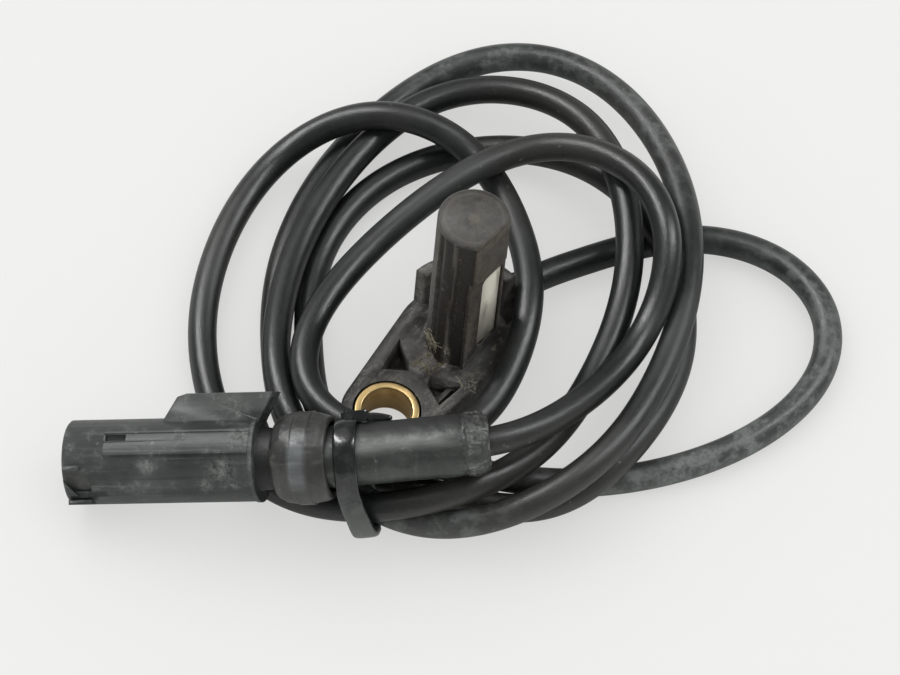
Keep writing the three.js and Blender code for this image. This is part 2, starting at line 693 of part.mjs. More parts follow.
// Convex outline round flat points, counter-clockwise
function hull(points) {
  const sorted = [...points].sort((a, b) => a[0] - b[0] || a[1] - b[1]);
  const half = (list) => {
    const out = [];
    for (const p of list) {
      while (out.length > 1) {
        const [a, b] = out.slice(-2);
        if ((b[0] - a[0]) * (p[1] - a[1]) - (b[1] - a[1]) * (p[0] - a[0]) > 1e-6) break;
        out.pop();
      }
      out.push(p);
    }
    return out.slice(0, -1);
  };
  return [...half(sorted), ...half(sorted.reverse())];
}

// Circles in the tie's plane: the sleeve, and the turns of the cable that lie along its front
function tiedCircles(sleeve) {
  const circles = [[0, 0, SLEEVE_R]];
  const samples = (ROUTE.length - 1) * 12;
  for (let i = 0; i < samples; i++) {
    const p = sleeve.worldToLocal(cableCurve.getPoint(i / samples));
    const beside = Math.abs(p.x - TIE_X) < TIE_W / 2 + 1;
    if (beside && p.z < -TIED_BELOW && Math.hypot(p.y, p.z) < TIE_REACH) circles.push([p.y, p.z, CABLE_D / 2]);
  }
  return circles;
}

// Cable tie: one closed strap round the sleeve and the turns beside it, a head and a cut tail
function cableTie(sleeve) {
  const circles = tiedCircles(sleeve);
  const outline = (grow) => {
    const points = [];
    for (const [y, z, r] of circles) {
      for (let i = 0; i < 24; i++) {
        const a = (i * Math.PI) / 12;
        points.push([y + (r + grow) * Math.cos(a), z + (r + grow) * Math.sin(a)]);
      }
    }
    return hull(points);
  };
  const ring = (grow) => {
    const shape = polygon(outline(grow).map(([y, z]) => [-z, y]));
    const geometry = new THREE.ExtrudeGeometry(shape, { depth: TIE_W, bevelEnabled: false });
    geometry.rotateY(Math.PI / 2);
    geometry.translate(TIE_X - TIE_W / 2, 0, 0);
    return solid(geometry);
  };
  const inner = ring(TIE_GAP);
  const long = inner.scale([3, 1, 1]).translate([-2 * TIE_X, 0, 0]);
  const head = TIE_HEAD;
  const tail = TIE_TAIL;
  const top = SLEEVE_R + TIE_GAP + TIE_T + head.height;
  return ring(TIE_GAP + TIE_T)
    .add(block(head.x0, head.x1, head.y0, head.y1, SLEEVE_R - 1, top))
    .add(block(head.x1 - WELD, head.x1 + tail.length, tail.y0, tail.y1, top - 0.3 - tail.thickness, top - 0.3))
    .subtract(long)
    .subtract(intoFrameOf(sleeve, cable(TIE_GAP)));
}

// Solid given in the part's frame, moved into a group's own frame
function intoFrameOf(group, body) {
  return body.transform(group.matrixWorld.clone().invert().toArray());
}

function placed(position, yaw, pitch, roll) {
  const group = new THREE.Group();
  group.position.copy(position);
  const turn = [roll, -pitch, yaw].map(THREE.MathUtils.degToRad);
  group.rotation.set(...turn, "ZYX");
  group.updateMatrixWorld(true);
  return group;
}

function sensorHead() {
  const head = placed(new THREE.Vector3(HEAD_X, HEAD_Y, 0), HEAD_TURN, 0, 0);
  head.add(
    piece("sensor_body", sensorBody(), MATERIALS.body),
    piece("bolt_bush", boltBush(), MATERIALS.brass),
    piece("inner_carrier", innerCarrier(), MATERIALS.carrier),
    piece("bias_magnet", boxOf(magnetPlace), MATERIALS.magnet),
    piece("sensing_chip", boxOf(chipPlace), MATERIALS.chip),
    piece("chip_terminal_left", boxOf(terminalPlace(-1)), MATERIALS.copper),
    piece("chip_terminal_right", boxOf(terminalPlace(1)), MATERIALS.copper),
  );
  return head;
}

function connector() {
  const y = CONTACT_PITCH / 2;
  const plug = placed(PLUG_MOUTH, PLUG_YAW, PLUG_PITCH, PLUG_ROLL);
  plug.add(
    piece("connector_housing", connectorHousing(), MATERIALS.housing),
    piece("terminal_carrier", terminalCarrier(), MATERIALS.insert),
    piece("core_seal", coreSeal(), MATERIALS.silicone),
    piece("contact_1", contact(-y), MATERIALS.copper),
    piece("contact_2", contact(y), MATERIALS.copper),
    piece("wire_seal_1", wireSeal(-y), MATERIALS.silicone),
    piece("wire_seal_2", wireSeal(y), MATERIALS.silicone),
    piece("neck_ring", neckRing(), MATERIALS.insert),
    piece("boot", boot(), MATERIALS.rubber),
  );
  return plug;
}

function assembly() {
  const root = new THREE.Group();
  const plug = connector();
  const pivot = plug.localToWorld(new THREE.Vector3(BOOT.x1 - SLEEVE_IN_BOOT, 0, 0));
  const sleeve = placed(pivot, SLEEVE_YAW, SLEEVE_PITCH, PLUG_ROLL);
  sleeve.add(
    piece("strain_relief_sleeve", strainRelief(), MATERIALS.rubber),
    piece("cable_tie", cableTie(sleeve), MATERIALS.tie),
  );
  root.add(
    sensorHead(),
    piece("cable", cable(), MATERIALS.sheath),
    plug,
    sleeve,
    piece("core_wire_1", coreWire(-1, plug, sleeve), MATERIALS.wire),
    piece("core_wire_2", coreWire(1, plug, sleeve), MATERIALS.wire),
  );
  return root;
}

export default assembly();
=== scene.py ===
"""Dressed model of a wheel speed sensor: head, cable, cable tie and plug connector."""

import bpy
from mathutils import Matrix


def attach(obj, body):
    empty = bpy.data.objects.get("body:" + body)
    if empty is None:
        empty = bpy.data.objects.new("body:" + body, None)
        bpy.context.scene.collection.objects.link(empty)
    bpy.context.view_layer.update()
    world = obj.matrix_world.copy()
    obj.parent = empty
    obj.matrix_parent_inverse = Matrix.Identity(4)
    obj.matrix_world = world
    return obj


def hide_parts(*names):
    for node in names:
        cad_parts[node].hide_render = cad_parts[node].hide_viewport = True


bl_info = {
    "name": "Wheel speed sensor",
    "version": (1, 0, 0),
    "blender": (4, 5, 0),
    "location": "View3D > Sidebar > Sensor",
    "description": "Builds the looks of a wheel speed sensor on its cable",
    "category": "Object",
}

import functools
import math
import random

import bmesh
import bpy
import numpy as np
from bpy.props import FloatProperty, FloatVectorProperty, IntProperty, PointerProperty
from mathutils import Matrix, Vector, noise

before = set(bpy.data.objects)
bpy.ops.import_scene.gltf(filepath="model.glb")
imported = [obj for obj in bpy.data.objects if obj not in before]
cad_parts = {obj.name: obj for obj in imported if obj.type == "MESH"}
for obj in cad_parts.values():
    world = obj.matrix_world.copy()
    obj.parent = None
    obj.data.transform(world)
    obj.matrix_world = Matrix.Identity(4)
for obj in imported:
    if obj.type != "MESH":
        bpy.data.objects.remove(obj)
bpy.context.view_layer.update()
MM = 0.001

# Camera
VIEW_TARGET = Vector((0.00185, 0.0087, 0.0))
VIEW_DISTANCE = 0.9
VIEW_ELEVATION = math.radians(57)
VIEW_ROLL = math.radians(6)
LENS = 219.2

# Brightness of the room as it lights the part, and as it shows in glossy surfaces;
# and how much of the floor's lit colour the camera sees in its shadows
ROOM_LIGHT = 0.93
ROOM_GLOSS = 0.3
SHADOW_LIFT = 0.6

# Half width of the floor, and its drop below the lowest faces so that they don't meet, in metres
FLOOR_REACH = 2.5
FLOOR_DROP = 0.0002

# Frames of the assembly, as the solids have them
HEAD_PLACE = Vector((3.7, 4.7, 0)) * MM
HEAD_TURN = 54.5
PLUG_MOUTH = Vector((-56.6, -26.9, 6.65)) * MM
PLUG_TURNS = (-0.8, 14.6, -57)
SLEEVE_PIVOT_X = 42.1 * MM
SLEEVE_TURNS = (9.4, 6.3, -57)

# How far the socket's mouth lies back from the solid's, fading out along this much of the plug
MOUTH_BACK = 0.7 * MM
MOUTH_FADE = 15 * MM

# Chalky marks on the housing: place in the plug's frame in millimetres, and reach
CHALK_SPOTS = (
    ((14.5, -6.7, -0.7), 2.6), ((27.0, -6.6, -1.6), 3.4), ((23.2, -4.7, 8.2), 3.0), ((28.5, -4.1, 8.6), 4.0),
    ((11.6, -4.5, 5.0), 1.6), ((30.0, -5.6, 3.8), 3.0), ((23.9, -5.2, -4.2), 2.2), ((3.0, -6.0, -2.5), 1.5),
)

# The probe's round faces, in millimetres from its axis: full, and in its two grooves
PROBE_RADII = (5.83, 5.28)

# Edge of the probe's lengthwise rib to each side of its middle, and the gland's place on the cable, in metres
RIB_EDGE = 0.00106
GLAND_AT = 0.0042

# Sizes in millimetres in the frames of the head, the sleeve and the tie's strap
BUSH_X = -18.5
SLEEVE_START = -1.3
SLEEVE_END = 26.4
SLEEVE_R = 4.95
TIE_X = 4.9
TIE_W = 3.6
TIE_T = 0.9
TIE_GAP = 0.2

# The turns of cable inside the tie lie within this reach of the sleeve's axis, and this far below it
TIE_REACH = 13.2
TIED_BELOW = 1

# Swing of the tie's strap along the sleeve, and how far it stands off, in millimetres,
# at angles round its loop
TIE_SWING = (
    (20, 0.2), (70, -0.1), (100, -0.4), (130, -1.3), (160, -1.75), (210, -1.7), (235, -1.2), (255, -0.4),
    (275, 0.5), (300, 1.0), (335, 0.7),
)
TIE_SLACK = ((180, 0), (215, 0.25), (240, 0.8), (265, 1.3), (285, 1.2), (310, 0.5), (330, 0))

# Middle of the strap's loop in the sleeve's frame; and the locking head, in millimetres along,
# across, and from the strap's top
TIE_MIDDLE = Vector((3, -3))
TIE_HEAD = ((3.2, 7.6), (-1.6, 3.8), (-0.9, 1.1))

# The inner wall of the socket: stretch of its length and its two radii in millimetres, and its angles
SKIRT_RUN = (0.45, 7.25)
SKIRT_RADII = (5.05, 5.6)
SKIRT_ANGLES = (math.radians(146), math.radians(266))

# Pieces inside the probe and the plug, and their plain finishes
INNER_FINISHES = (
    (["bias_magnet"], ("magnet_metal", (120, 120, 122), (84, 84, 88), 500, 0.4, 1.0)),
    (["sensing_chip"], ("chip_epoxy", (30, 30, 31), (46, 46, 46), 600, 0.5)),
    (["chip_terminal_left", "chip_terminal_right", "contact_1", "contact_2"],
     ("contact_metal", (196, 178, 150), (150, 132, 104), 400, 0.3, 1.0)),
    (["terminal_carrier"], ("insert_plastic", (92, 96, 92), (70, 72, 70), 300, 0.5)),
    (["core_seal", "wire_seal_1", "wire_seal_2"], ("seal_silicone", (150, 82, 52), (120, 62, 40), 400, 0.45)),
    (["core_wire_1"], ("core_white", (190, 190, 184), (160, 160, 152), 500, 0.45)),
    (["core_wire_2"], ("core_black", (36, 36, 38), (58, 58, 60), 500, 0.45)),
)

# Where dirt gathers on the head: x, y and reach in its frame, in millimetres
DIRT_SPOTS = ((-6.8, 0.6, 1.8), (-5.9, -7.4, 3.2), (-9.5, -5.5, 1.6), (-3.5, -6.6, 1.6), (-8.6, 4.0, 1.5))
SMALLEST_CRUMB = 0.25

# Fibres caught on the head: how many, their radius in metres, and their points and step in millimetres
FIBRES = 34
FIBRE_RADIUS = 0.000045
FIBRE_POINTS = 9
FIBRE_STEP = 0.24

# Middle and half length, in metres along the cable, of its dusty stretches; metres to one unit of its UV map
DUSTY_RUNS = ((0.473, 0.025), (0.505, 0.03), (0.08, 0.06), (0.11, 0.04), (0.609, 0.02))
SWEEP_UNIT = 0.1

# Spacing of the points that ease the cable's small kinks, how far they may move, how many stay at each end,
# and how much of the bend and of an overlap each round takes away
EASE_STEP = 0.0024
EASE_REACH = 0.0012
EASE_HELD = (3, 8)
EASE_RATE = 0.12
PUSH_RATE = 0.3

# Points that the cable runs through, in tenths of a millimetre, and how many of those make a metre
CABLE_ROUTE = (
    (89, 120, 49), (116, 157, 49), (138, 183, 46), (203, 222, 30), (294, 286, 25), (451, 316, 25),
    (589, 254, 32), (640, 133, 31), (587, 3, 26), (433, -121, 25), (206, -189, 29), (-69, -192, 81),
    (-143, -171, 71), (-177, -106, 35), (-216, 170, 25), (-141, 337, 31), (-9, 431, 29), (154, 441, 47),
    (294, 352, 71), (377, 208, 68), (392, 34, 63), (299, -173, 79), (196, -246, 39), (-50, -213, 25),
    (-181, -189, 25), (-227, -119, 24), (-273, 125, 25), (-227, 341, 27), (-119, 514, 32), (28, 620, 48),
    (177, 618, 58), (288, 532, 66), (378, 335, 104), (394, 138, 115), (346, -61, 121), (265, -212, 133),
    (117, -305, 95), (-34, -302, 56), (-158, -226, 72), (-236, -134, 90), (-258, 108, 73), (-202, 314, 63),
    (-88, 486, 63), (37, 547, 66), (168, 519, 77), (262, 379, 115), (298, 187, 107), (259, -7, 95),
    (168, -190, 105), (29, -295, 127), (-91, -311, 93), (-256, -251, 41), (-357, -89, 29), (-387, 66, 34),
    (-351, 272, 39), (-257, 414, 54), (-122, 436, 119), (13, 415, 78), (105, 257, 96), (142, 92, 115),
    (80, -120, 91), (-9, -191, 120), (-80, -186, 130), (-171, -160, 117), (-214, -35, 114),
    (-134, 161, 108), (13, 318, 133), (140, 399, 127), (264, 356, 166), (355, 206, 191), (333, 61, 125),
    (247, -95, 152), (176, -176, 179), (122, -228, 204), (81, -235, 199), (-21, -252, 188),
    (-96, -264, 180),
)
TENTHS = 10000


def turned_frame(origin, turns):
    """Frame whose X axis is turned by yaw, raised by pitch and rolled, in degrees."""
    yaw, pitch, roll = (math.radians(a) for a in turns)
    return (
        Matrix.Translation(origin)
        @ Matrix.Rotation(yaw, 4, "Z")
        @ Matrix.Rotation(-pitch, 4, "Y")
        @ Matrix.Rotation(roll, 4, "X")
    )


HEAD_FRAME = turned_frame(HEAD_PLACE, (HEAD_TURN, 0, 0))
PLUG_FRAME = turned_frame(PLUG_MOUTH, PLUG_TURNS)
SLEEVE_FRAME = turned_frame(PLUG_FRAME @ Vector((SLEEVE_PIVOT_X, 0, 0)), SLEEVE_TURNS)


def paint(red, green, blue):
    """Colour written as it shows on screen, made linear."""
    levels = (c / 255 for c in (red, green, blue))
    return tuple(((c + 0.055) / 1.055) ** 2.4 if c > 0.0404 else c / 12.92 for c in levels)


def put(tree, socket, value):
    """Links an input to an expression or another node's output, or gives it a value of its own."""
    if isinstance(value, Value):
        value = value.socket
    if isinstance(value, bpy.types.NodeSocket):
        tree.links.new(value, socket)
    elif socket.type == "RGBA" and len(value) == 3:
        socket.default_value = (*value, 1)
    else:
        socket.default_value = value


def add_node(tree, kind, values=(), **settings):
    """New node with its inputs, by name or by number, and its settings."""
    node = tree.nodes.new(kind)
    for key, value in settings.items():
        setattr(node, key, value)
    for key, value in values.items() if isinstance(values, dict) else enumerate(values):
        put(tree, node.inputs[key], value)
    return node


class Value:
    """A shader socket that adds a Math node for each operation in an expression."""

    def __init__(self, finish, socket):
        self.finish = finish
        self.socket = socket

    def math(self, operation, *values):
        return self.finish.add("ShaderNodeMath", values, operation=operation)

    def __add__(self, other):
        return self.math("ADD", self, other)

    def __radd__(self, other):
        return self.math("ADD", other, self)

    def __sub__(self, other):
        return self.math("SUBTRACT", self, other)

    def __rsub__(self, other):
        return self.math("SUBTRACT", other, self)

    def __mul__(self, other):
        return self.math("MULTIPLY", self, other)

    def __rmul__(self, other):
        return self.math("MULTIPLY", other, self)

    def __abs__(self):
        return self.math("ABSOLUTE", self)

    def root(self):
        return self.math("SQRT", self)

    def step(self, low, high):
        """0 below low and 1 above high, or the other way round, with a soft edge."""
        values = {"Value": self, "From Min": low, "From Max": high}
        return self.finish.add("ShaderNodeMapRange", values, interpolation_type="SMOOTHSTEP")


class Finish:
    """A material whose Principled shader is fed by expressions, and whose colour is built up in layers."""

    def __init__(self, name, base, **constants):
        self.material = bpy.data.materials.new(name)
        self.material.use_nodes = True
        self.tree = self.material.node_tree
        self.shader = next(n for n in self.tree.nodes if n.type == "BSDF_PRINCIPLED")
        self.colour = base
        self.feed(**constants)

    def add(self, kind, values=(), output=0, **settings):
        return Value(self, add_node(self.tree, kind, values, **settings).outputs[output])

    def feed(self, **values):
        for key, value in values.items():
            put(self.tree, self.shader.inputs[key.replace("_", " ")], value)

    def place(self, matrix=None, scale=(1, 1, 1)):
        """Object coordinates, seen from a frame of the assembly and stretched."""
        spot = self.add("ShaderNodeTexCoord", output=3)
        if matrix is not None:
            turn = {"Vector": spot, "Location": matrix.to_translation(), "Rotation": matrix.to_euler()}
            spot = self.add("ShaderNodeMapping", turn, vector_type="TEXTURE")
        return self.add("ShaderNodeMapping", {"Vector": spot, "Scale": scale}, vector_type="POINT")

    def axes(self, vector):
        """X, Y and Z of a vector, as three values."""
        node = add_node(self.tree, "ShaderNodeSeparateXYZ", [vector])
        return [Value(self, out) for out in node.outputs]

    def noise(self, vector, scale, detail=4, roughness=0.55, distortion=0):
        return self.add("ShaderNodeTexNoise", {
            "Vector": vector, "Scale": scale, "Detail": detail, "Roughness": roughness,
            "Distortion": distortion})

    def cells(self, vector, scale):
        return self.add("ShaderNodeTexVoronoi", {"Vector": vector, "Scale": scale}, feature="F1")

    def blend(self, factor, low, high):
        """Colour mixed from low to high by a factor."""
        values = {0: factor, 6: low, 7: high}
        return self.add("ShaderNodeMix", values, 2, data_type="RGBA", clamp_factor=True)

    def over(self, factor, colour):
        """One more layer of colour over those before."""
        self.colour = self.blend(factor, self.colour, colour)

    def relief(self, height, distance, edge=0):
        """Bump in metres over normals that may be rounded at the edges."""
        values = {"Height": height, "Strength": 1.0, "Distance": distance}
        if edge:
            values["Normal"] = self.add("ShaderNodeBevel", {"Radius": edge}, samples=6)
        self.feed(Normal=self.add("ShaderNodeBump", values))

    def upward(self):
        """How far the surface faces up, from 0 to 1."""
        normal = self.add("ShaderNodeNewGeometry", output=1)
        return self.axes(normal)[2].step(0.1, 0.95)

    def done(self, rough, height, distance, edge=0):
        """The material, with its colour, roughness and relief in place."""
        self.feed(Base_Color=self.colour, Roughness=rough)
        self.relief(height, distance, edge)
        return self.material


def sheath_finish(look):
    """Cable sheath: dark satin plastic with rubbed dust and fine lengthwise scuffs."""
    f = Finish("cable_sheath", look.sheath_colour, IOR=1.5)
    spot = f.place()
    along = f.add("ShaderNodeUVMap", uv_map="sweep")
    streaks = f.noise(f.add("ShaderNodeMapping", {"Vector": along, "Scale": (18, 9, 1)}), 5, 5)
    scuffs = f.noise(f.add("ShaderNodeMapping", {"Vector": along, "Scale": (60, 5, 1)}), 6, 6, 0.7)
    scuffs = scuffs.step(0.6, 0.78)
    run = f.axes(along)[0]
    dusty = 0
    for middle, reach in DUSTY_RUNS:
        dusty = abs(run - middle / SWEEP_UNIT).step(reach / SWEEP_UNIT, 0) + dusty
    film = f.noise(spot, 45, 5).step(0.42, 0.72)
    specks = f.noise(spot, 700, 3, 0.6).step(0.66, 0.74)
    worn = f.noise(spot, 22, 3).step(0.5, 0.64)
    f.over(film * 0.42, look.sheath_dust)
    f.over(f.noise(spot, 16, 2).step(0.5, 0.62) * 0.4, paint(56, 51, 44))
    f.over(streaks.step(0.5, 0.75) * 0.25, look.sheath_dust)
    f.over(scuffs * worn * 0.5, paint(128, 128, 122))
    f.over(specks * worn * 0.35, paint(150, 146, 134))
    patches = f.noise(spot, 260, 8, 0.78).step(0.44, 0.64) * dusty
    f.over(dusty * 0.3, paint(84, 89, 87))
    f.over(patches * 0.65, paint(112, 117, 114))
    return f.done(0.3 + film * 0.12 + streaks * 0.1 + patches * 0.26, streaks, 0.00004)


def moulding_finish(look):
    """Sensor head: brown-black moulded plastic, dusty on top, drawn along the probe."""
    f = Finish("head_moulding", look.body_colour, IOR=1.46)
    spot = f.place()
    height = f.axes(spot)[2]
    along, across, _ = f.axes(f.place(HEAD_FRAME))
    drawn = f.noise(f.place(HEAD_FRAME, (900, 900, 55)), 1, 4, 0.6)
    broad = f.noise(spot, 130, 6, 0.6)
    mottle = f.noise(spot, 560, 8, 0.8)
    speck = f.noise(spot, 1900, 4, 0.7).step(0.58, 0.68) * broad.step(0.4, 0.6)
    fine = f.noise(spot, 1500, 4, 0.7)
    up = f.upward()
    dust = up * broad.step(0.34, 0.6) * mottle.step(0.4, 0.62)
    scuff = mottle.step(0.58, 0.7) * broad.step(0.45, 0.62)
    cap = height.step(0.0408, 0.0411)
    wipes = f.noise(f.place(HEAD_FRAME, (260, 900, 900)), 1, 6, 0.75, 0.8).step(0.52, 0.64)
    wipes = wipes * broad.step(0.36, 0.56)
    f.over(drawn.step(0.4, 0.8) * 0.7, paint(54, 51, 45))
    f.over(dust * 0.85, look.body_dust)
    f.over(scuff * 0.75, paint(140, 136, 124))
    f.over(wipes * up * 0.6, paint(138, 134, 124))
    f.over(speck * (0.6 + up * 0.2), paint(156, 152, 140))
    streak = f.noise(f.place(HEAD_FRAME, (520, 520, 22)), 1, 4, 0.6).step(0.58, 0.68)
    streak = streak * mottle.step(0.4, 0.6) * (0.3 + height.step(0.036, 0.012) * 0.5)
    f.over(streak, paint(124, 119, 105))
    # Painted highlight: the probe's side above the flange is made paler, as where light falls on it.
    painted_lit_side = across.step(0.0006, 0.003) * height.step(0.006, 0.012)
    f.over(painted_lit_side * (0.35 + mottle.step(0.4, 0.6) * 0.5), paint(108, 105, 97))
    on_rib = along.step(-0.0064, -0.0061) * along.step(-0.0045, -0.0052)
    # Painted highlights: pale broken lines along both edges of the probe's rib.
    edges = abs(abs(across) - RIB_EDGE).step(0.0004, 0.00008) * drawn.step(0.42, 0.6) * on_rib
    f.over(edges * 0.5, paint(120, 117, 108))
    chipped = abs(across + RIB_EDGE).step(0.0008, 0.0002) * on_rib * height.step(0.0135, 0.0085)
    f.over(chipped * mottle.step(0.46, 0.56) * 0.8, paint(186, 182, 168))
    window_side = across.step(-0.0034, -0.0042) * height.step(0.007, 0.012)
    f.over(window_side * mottle.step(0.35, 0.62) * 0.8, paint(96, 88, 74))
    around = (along * along + across * across).root()
    ring = abs(around - 0.0047).step(0.00035, 0.0001)
    eye = around.step(0.0011, 0.0006)
    top = f.blend(mottle.step(0.3, 0.75), paint(50, 48, 44), paint(92, 88, 79))
    top = f.blend(ring * 0.3, top, paint(104, 100, 91))
    top = f.blend(eye * 0.4, top, paint(110, 98, 82))
    top = f.blend(around.step(0.0049, 0.0056) * 0.7, top, paint(60, 57, 52))
    f.over(cap, top)
    return f.done(0.4 + dust * 0.3 + fine * 0.15, fine * 0.4 + drawn * 0.25 + mottle * 0.8, 0.00013, 0.00022)


def bush_finish(look):
    """Turned brass with stains, bright on its ring and darker lower down the bore."""
    f = Finish("bush_brass", look.brass_colour, Metallic=1.0)
    spot = f.place()
    height = f.axes(spot)[2]
    stain = f.noise(spot, 330, 4).step(0.45, 0.72)
    rings = f.noise(f.place(None, (200, 200, 4200)), 1, 2)
    # Darker lower down.
    deep = height.step(0.0056, 0.0015)
    f.over(stain * 0.5, paint(182, 152, 104))
    f.over(deep * 0.6, paint(140, 124, 96))
    return f.done(0.3 + stain * 0.22 + rings * 0.12 + deep * 0.15, rings, 0.00004)


def carrier_finish():
    """Pale resin of the carrier that shows in the probe's window."""
    f = Finish("carrier_resin", paint(240, 237, 222), IOR=1.5)
    spot = f.place()
    haze = f.noise(spot, 170, 5, 0.65)
    dirt = f.noise(f.place(HEAD_FRAME, (500, 500, 90)), 1, 4).step(0.5, 0.78)
    f.over(haze, paint(196, 192, 172))
    f.over(dirt * 0.6, paint(84, 78, 64))
    return f.done(0.45 + haze * 0.2, haze, 0.00025)


def housing_finish(look):
    """Plug housing: grey-black filled plastic with chalky rubs and fine lengthwise scratches."""
    f = Finish("housing_plastic", look.housing_colour, IOR=1.48)
    spot = f.place(PLUG_FRAME)
    x, _, z = f.axes(spot)
    broad = f.noise(spot, 85, 6, 0.62)
    scratch = f.noise(f.place(PLUG_FRAME, (50, 1500, 1500)), 1, 3, 0.6)
    chalk = f.noise(spot, 330, 8, 0.75).step(0.5, 0.66) * broad.step(0.4, 0.56)
    for place, reach in CHALK_SPOTS:
        away = f.add("ShaderNodeVectorMath", (spot, Vector(place) * MM), 1, operation="DISTANCE")
        chalk = chalk + away.step(reach * MM, 0) * broad.step(0.3, 0.5)
    spots = f.cells(spot, 520).step(0.2, 0.08) * f.noise(spot, 150, 2).step(0.55, 0.65)
    near_rear = x.step(0.013, 0.024)
    f.over(broad.step(0.36, 0.72), paint(71, 75, 73))
    f.over(scratch.step(0.56, 0.76) * 0.4, paint(112, 114, 110))
    grit = f.noise(spot, 900, 6, 0.8).step(0.38, 0.6)
    f.over(chalk * (0.5 + near_rear * 0.3) * grit, paint(132, 134, 130))
    f.over(spots * 0.35, paint(150, 150, 146))
    keel = z.step(0.0072, 0.0084)
    f.over(keel * 0.35, paint(112, 113, 110))
    fine = f.noise(spot, 1300, 3)
    return f.done(0.4 + broad * 0.16 + chalk * 0.25, fine * 0.5 + scratch * 0.5, 0.00007, 0.00018)


def rubber_finish(name, matrix, dark, pale, rub, gloss, crust_from=None, painted_highlight_span=None, painted_highlight_height=None):
    """Rubber with dusty wipe marks along its length.

    Where given, it has a scaly crust past one place, a painted highlight band between two, and a painted
    highlight streak at a height under a top darkened as painted shade.
    """
    f = Finish(name, dark, IOR=1.45)
    spot = f.place(matrix)
    x, y, z = f.axes(spot)
    broad = f.noise(spot, 110, 6, 0.62)
    wipe = f.noise(f.place(matrix, (60, 420, 420)), 1, 4, 0.6)
    around = f.noise(f.place(matrix, (700, 60, 60)), 1, 3, 0.6).step(0.52, 0.72)
    specks = f.noise(spot, 1300, 5, 0.7).step(0.6, 0.7)
    f.over(broad.step(0.34, 0.72), pale)
    f.over(wipe.step(0.5, 0.74) * 0.5, rub)
    f.over(around * 0.14, rub)
    f.over(specks * 0.3, paint(150, 148, 140))
    rough = gloss + broad * 0.2
    if painted_highlight_span:
        start, end = painted_highlight_span
        # Painted highlight: a pale band between the two places, on the near side below the top, with less
        # roughness.
        painted_highlight_band = x.step(start - 0.0004, start + 0.0006) * x.step(end + 0.0003, end - 0.0009)
        painted_highlight_band = painted_highlight_band * y.step(-0.0046, -0.0068) * z.step(0.0042, 0.002)
        f.over(painted_highlight_band * (0.35 + wipe.step(0.35, 0.65) * 0.45), paint(118, 124, 125))
        rough = rough - painted_highlight_band * 0.08
    if painted_highlight_height:
        # Painted highlight: a pale streak along the given height, on the near side.
        worn = abs(z - painted_highlight_height).step(0.0017, 0.0001) * y.step(0.0, -0.001) * x.step(0.024, 0.017)
        # Painted shade: the top is darkened.
        top = z.step(0.0022, 0.004)
        f.over(top * 0.75, paint(24, 26, 24))
        rough = rough + top * 0.22
        f.over(worn * (0.4 + wipe.step(0.4, 0.66) * 0.45), paint(124, 128, 124))
    height = broad * 0.4 + f.noise(spot, 1100, 3) * 0.35
    if crust_from is not None:
        scales = f.noise(f.place(matrix, (260, 700, 700)), 1, 5, 0.75, 0.6)
        past = x.step(crust_from, crust_from + 0.0008)
        f.over(past * scales.step(0.5, 0.64) * 0.6, paint(132, 132, 126))
        height = height + past * scales * 1.6
    return f.done(rough, height, 0.00016)


def tie_finish(look):
    """Glossy black nylon with a few rubs."""
    f = Finish("tie_nylon", look.tie_colour, IOR=1.5, Coat_Roughness=0.12)
    spot = f.place()
    rubs = f.noise(spot, 260, 5, 0.65)
    fine = f.noise(spot, 1600, 2)
    low = f.axes(spot)[2].step(0.0185, 0.009)
    f.over(rubs.step(0.5, 0.75) * 0.4, paint(78, 81, 80))
    f.over(low * (0.5 + rubs.step(0.4, 0.6) * 0.4), paint(112, 116, 112))
    f.feed(Coat_Weight=0.1 + rubs * 0.1)
    return f.done(0.14 + rubs * 0.16 + low * 0.2, rubs * 0.7 + fine * 0.3, 0.00008)


def plain_finish(name, low, high, scale, rough, metallic=0.0):
    """A small hidden or half hidden piece: two tones and a fine grain."""
    f = Finish(name, paint(*low), Metallic=metallic)
    spot = f.place()
    tone = f.noise(spot, scale, 4)
    f.over(tone, paint(*high))
    return f.done(rough + tone * 0.12, f.noise(spot, scale * 5, 2), 0.00005)


def own(mesh_object, material, slot, *nodes):
    """Gives a finished piece its material, its body and the nodes it stands for; the slot is not used."""
    mesh_object.data.materials.clear()
    mesh_object.data.materials.append(material)
    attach(mesh_object, "root")
    if nodes:
        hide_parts(*nodes)


def linked(name, data):
    """New object in the scene."""
    made = bpy.data.objects.new(name, data)
    bpy.context.scene.collection.objects.link(made)
    return made


def object_from(bm, name, sharp):
    """Object at the origin from a bmesh, with smooth faces that break at sharp edges."""
    mesh = bpy.data.meshes.new(name)
    bm.to_mesh(mesh)
    bm.free()
    mesh.shade_smooth()
    mesh.set_sharp_from_angle(angle=math.radians(sharp))
    return linked(name, mesh)


def piece_from(bm, name, sharp=40):
    """The same, with every face turned outward first."""
    bmesh.ops.recalc_face_normals(bm, faces=bm.faces)
    return object_from(bm, name, sharp)


def merged_copy(node, name, sharp=32):
    """Copy of a solid's mesh with its doubles merged and its round faces smooth."""
    bm = bmesh.new()
    bm.from_mesh(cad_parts[node].data)
    bmesh.ops.remove_doubles(bm, verts=bm.verts, dist=1e-6)
    return object_from(bm, name, sharp)


def polar(x, r, angle):
    """Point at a radius and an angle round the X axis."""
    return Vector((x, r * math.cos(angle), r * math.sin(angle)))


def skin(bm, lines, closed=True, looped=False):
    """Quads between each line of points and the next; each may be closed, and the last may meet the first."""
    faces = []
    for near, far in zip(lines, lines[1:] + lines[:1] if looped else lines[1:]):
        for k in range(len(near) - (not closed)):
            j = (k + 1) % len(near)
            faces.append(bm.faces.new((near[k], near[j], far[j], far[k])))
    return faces


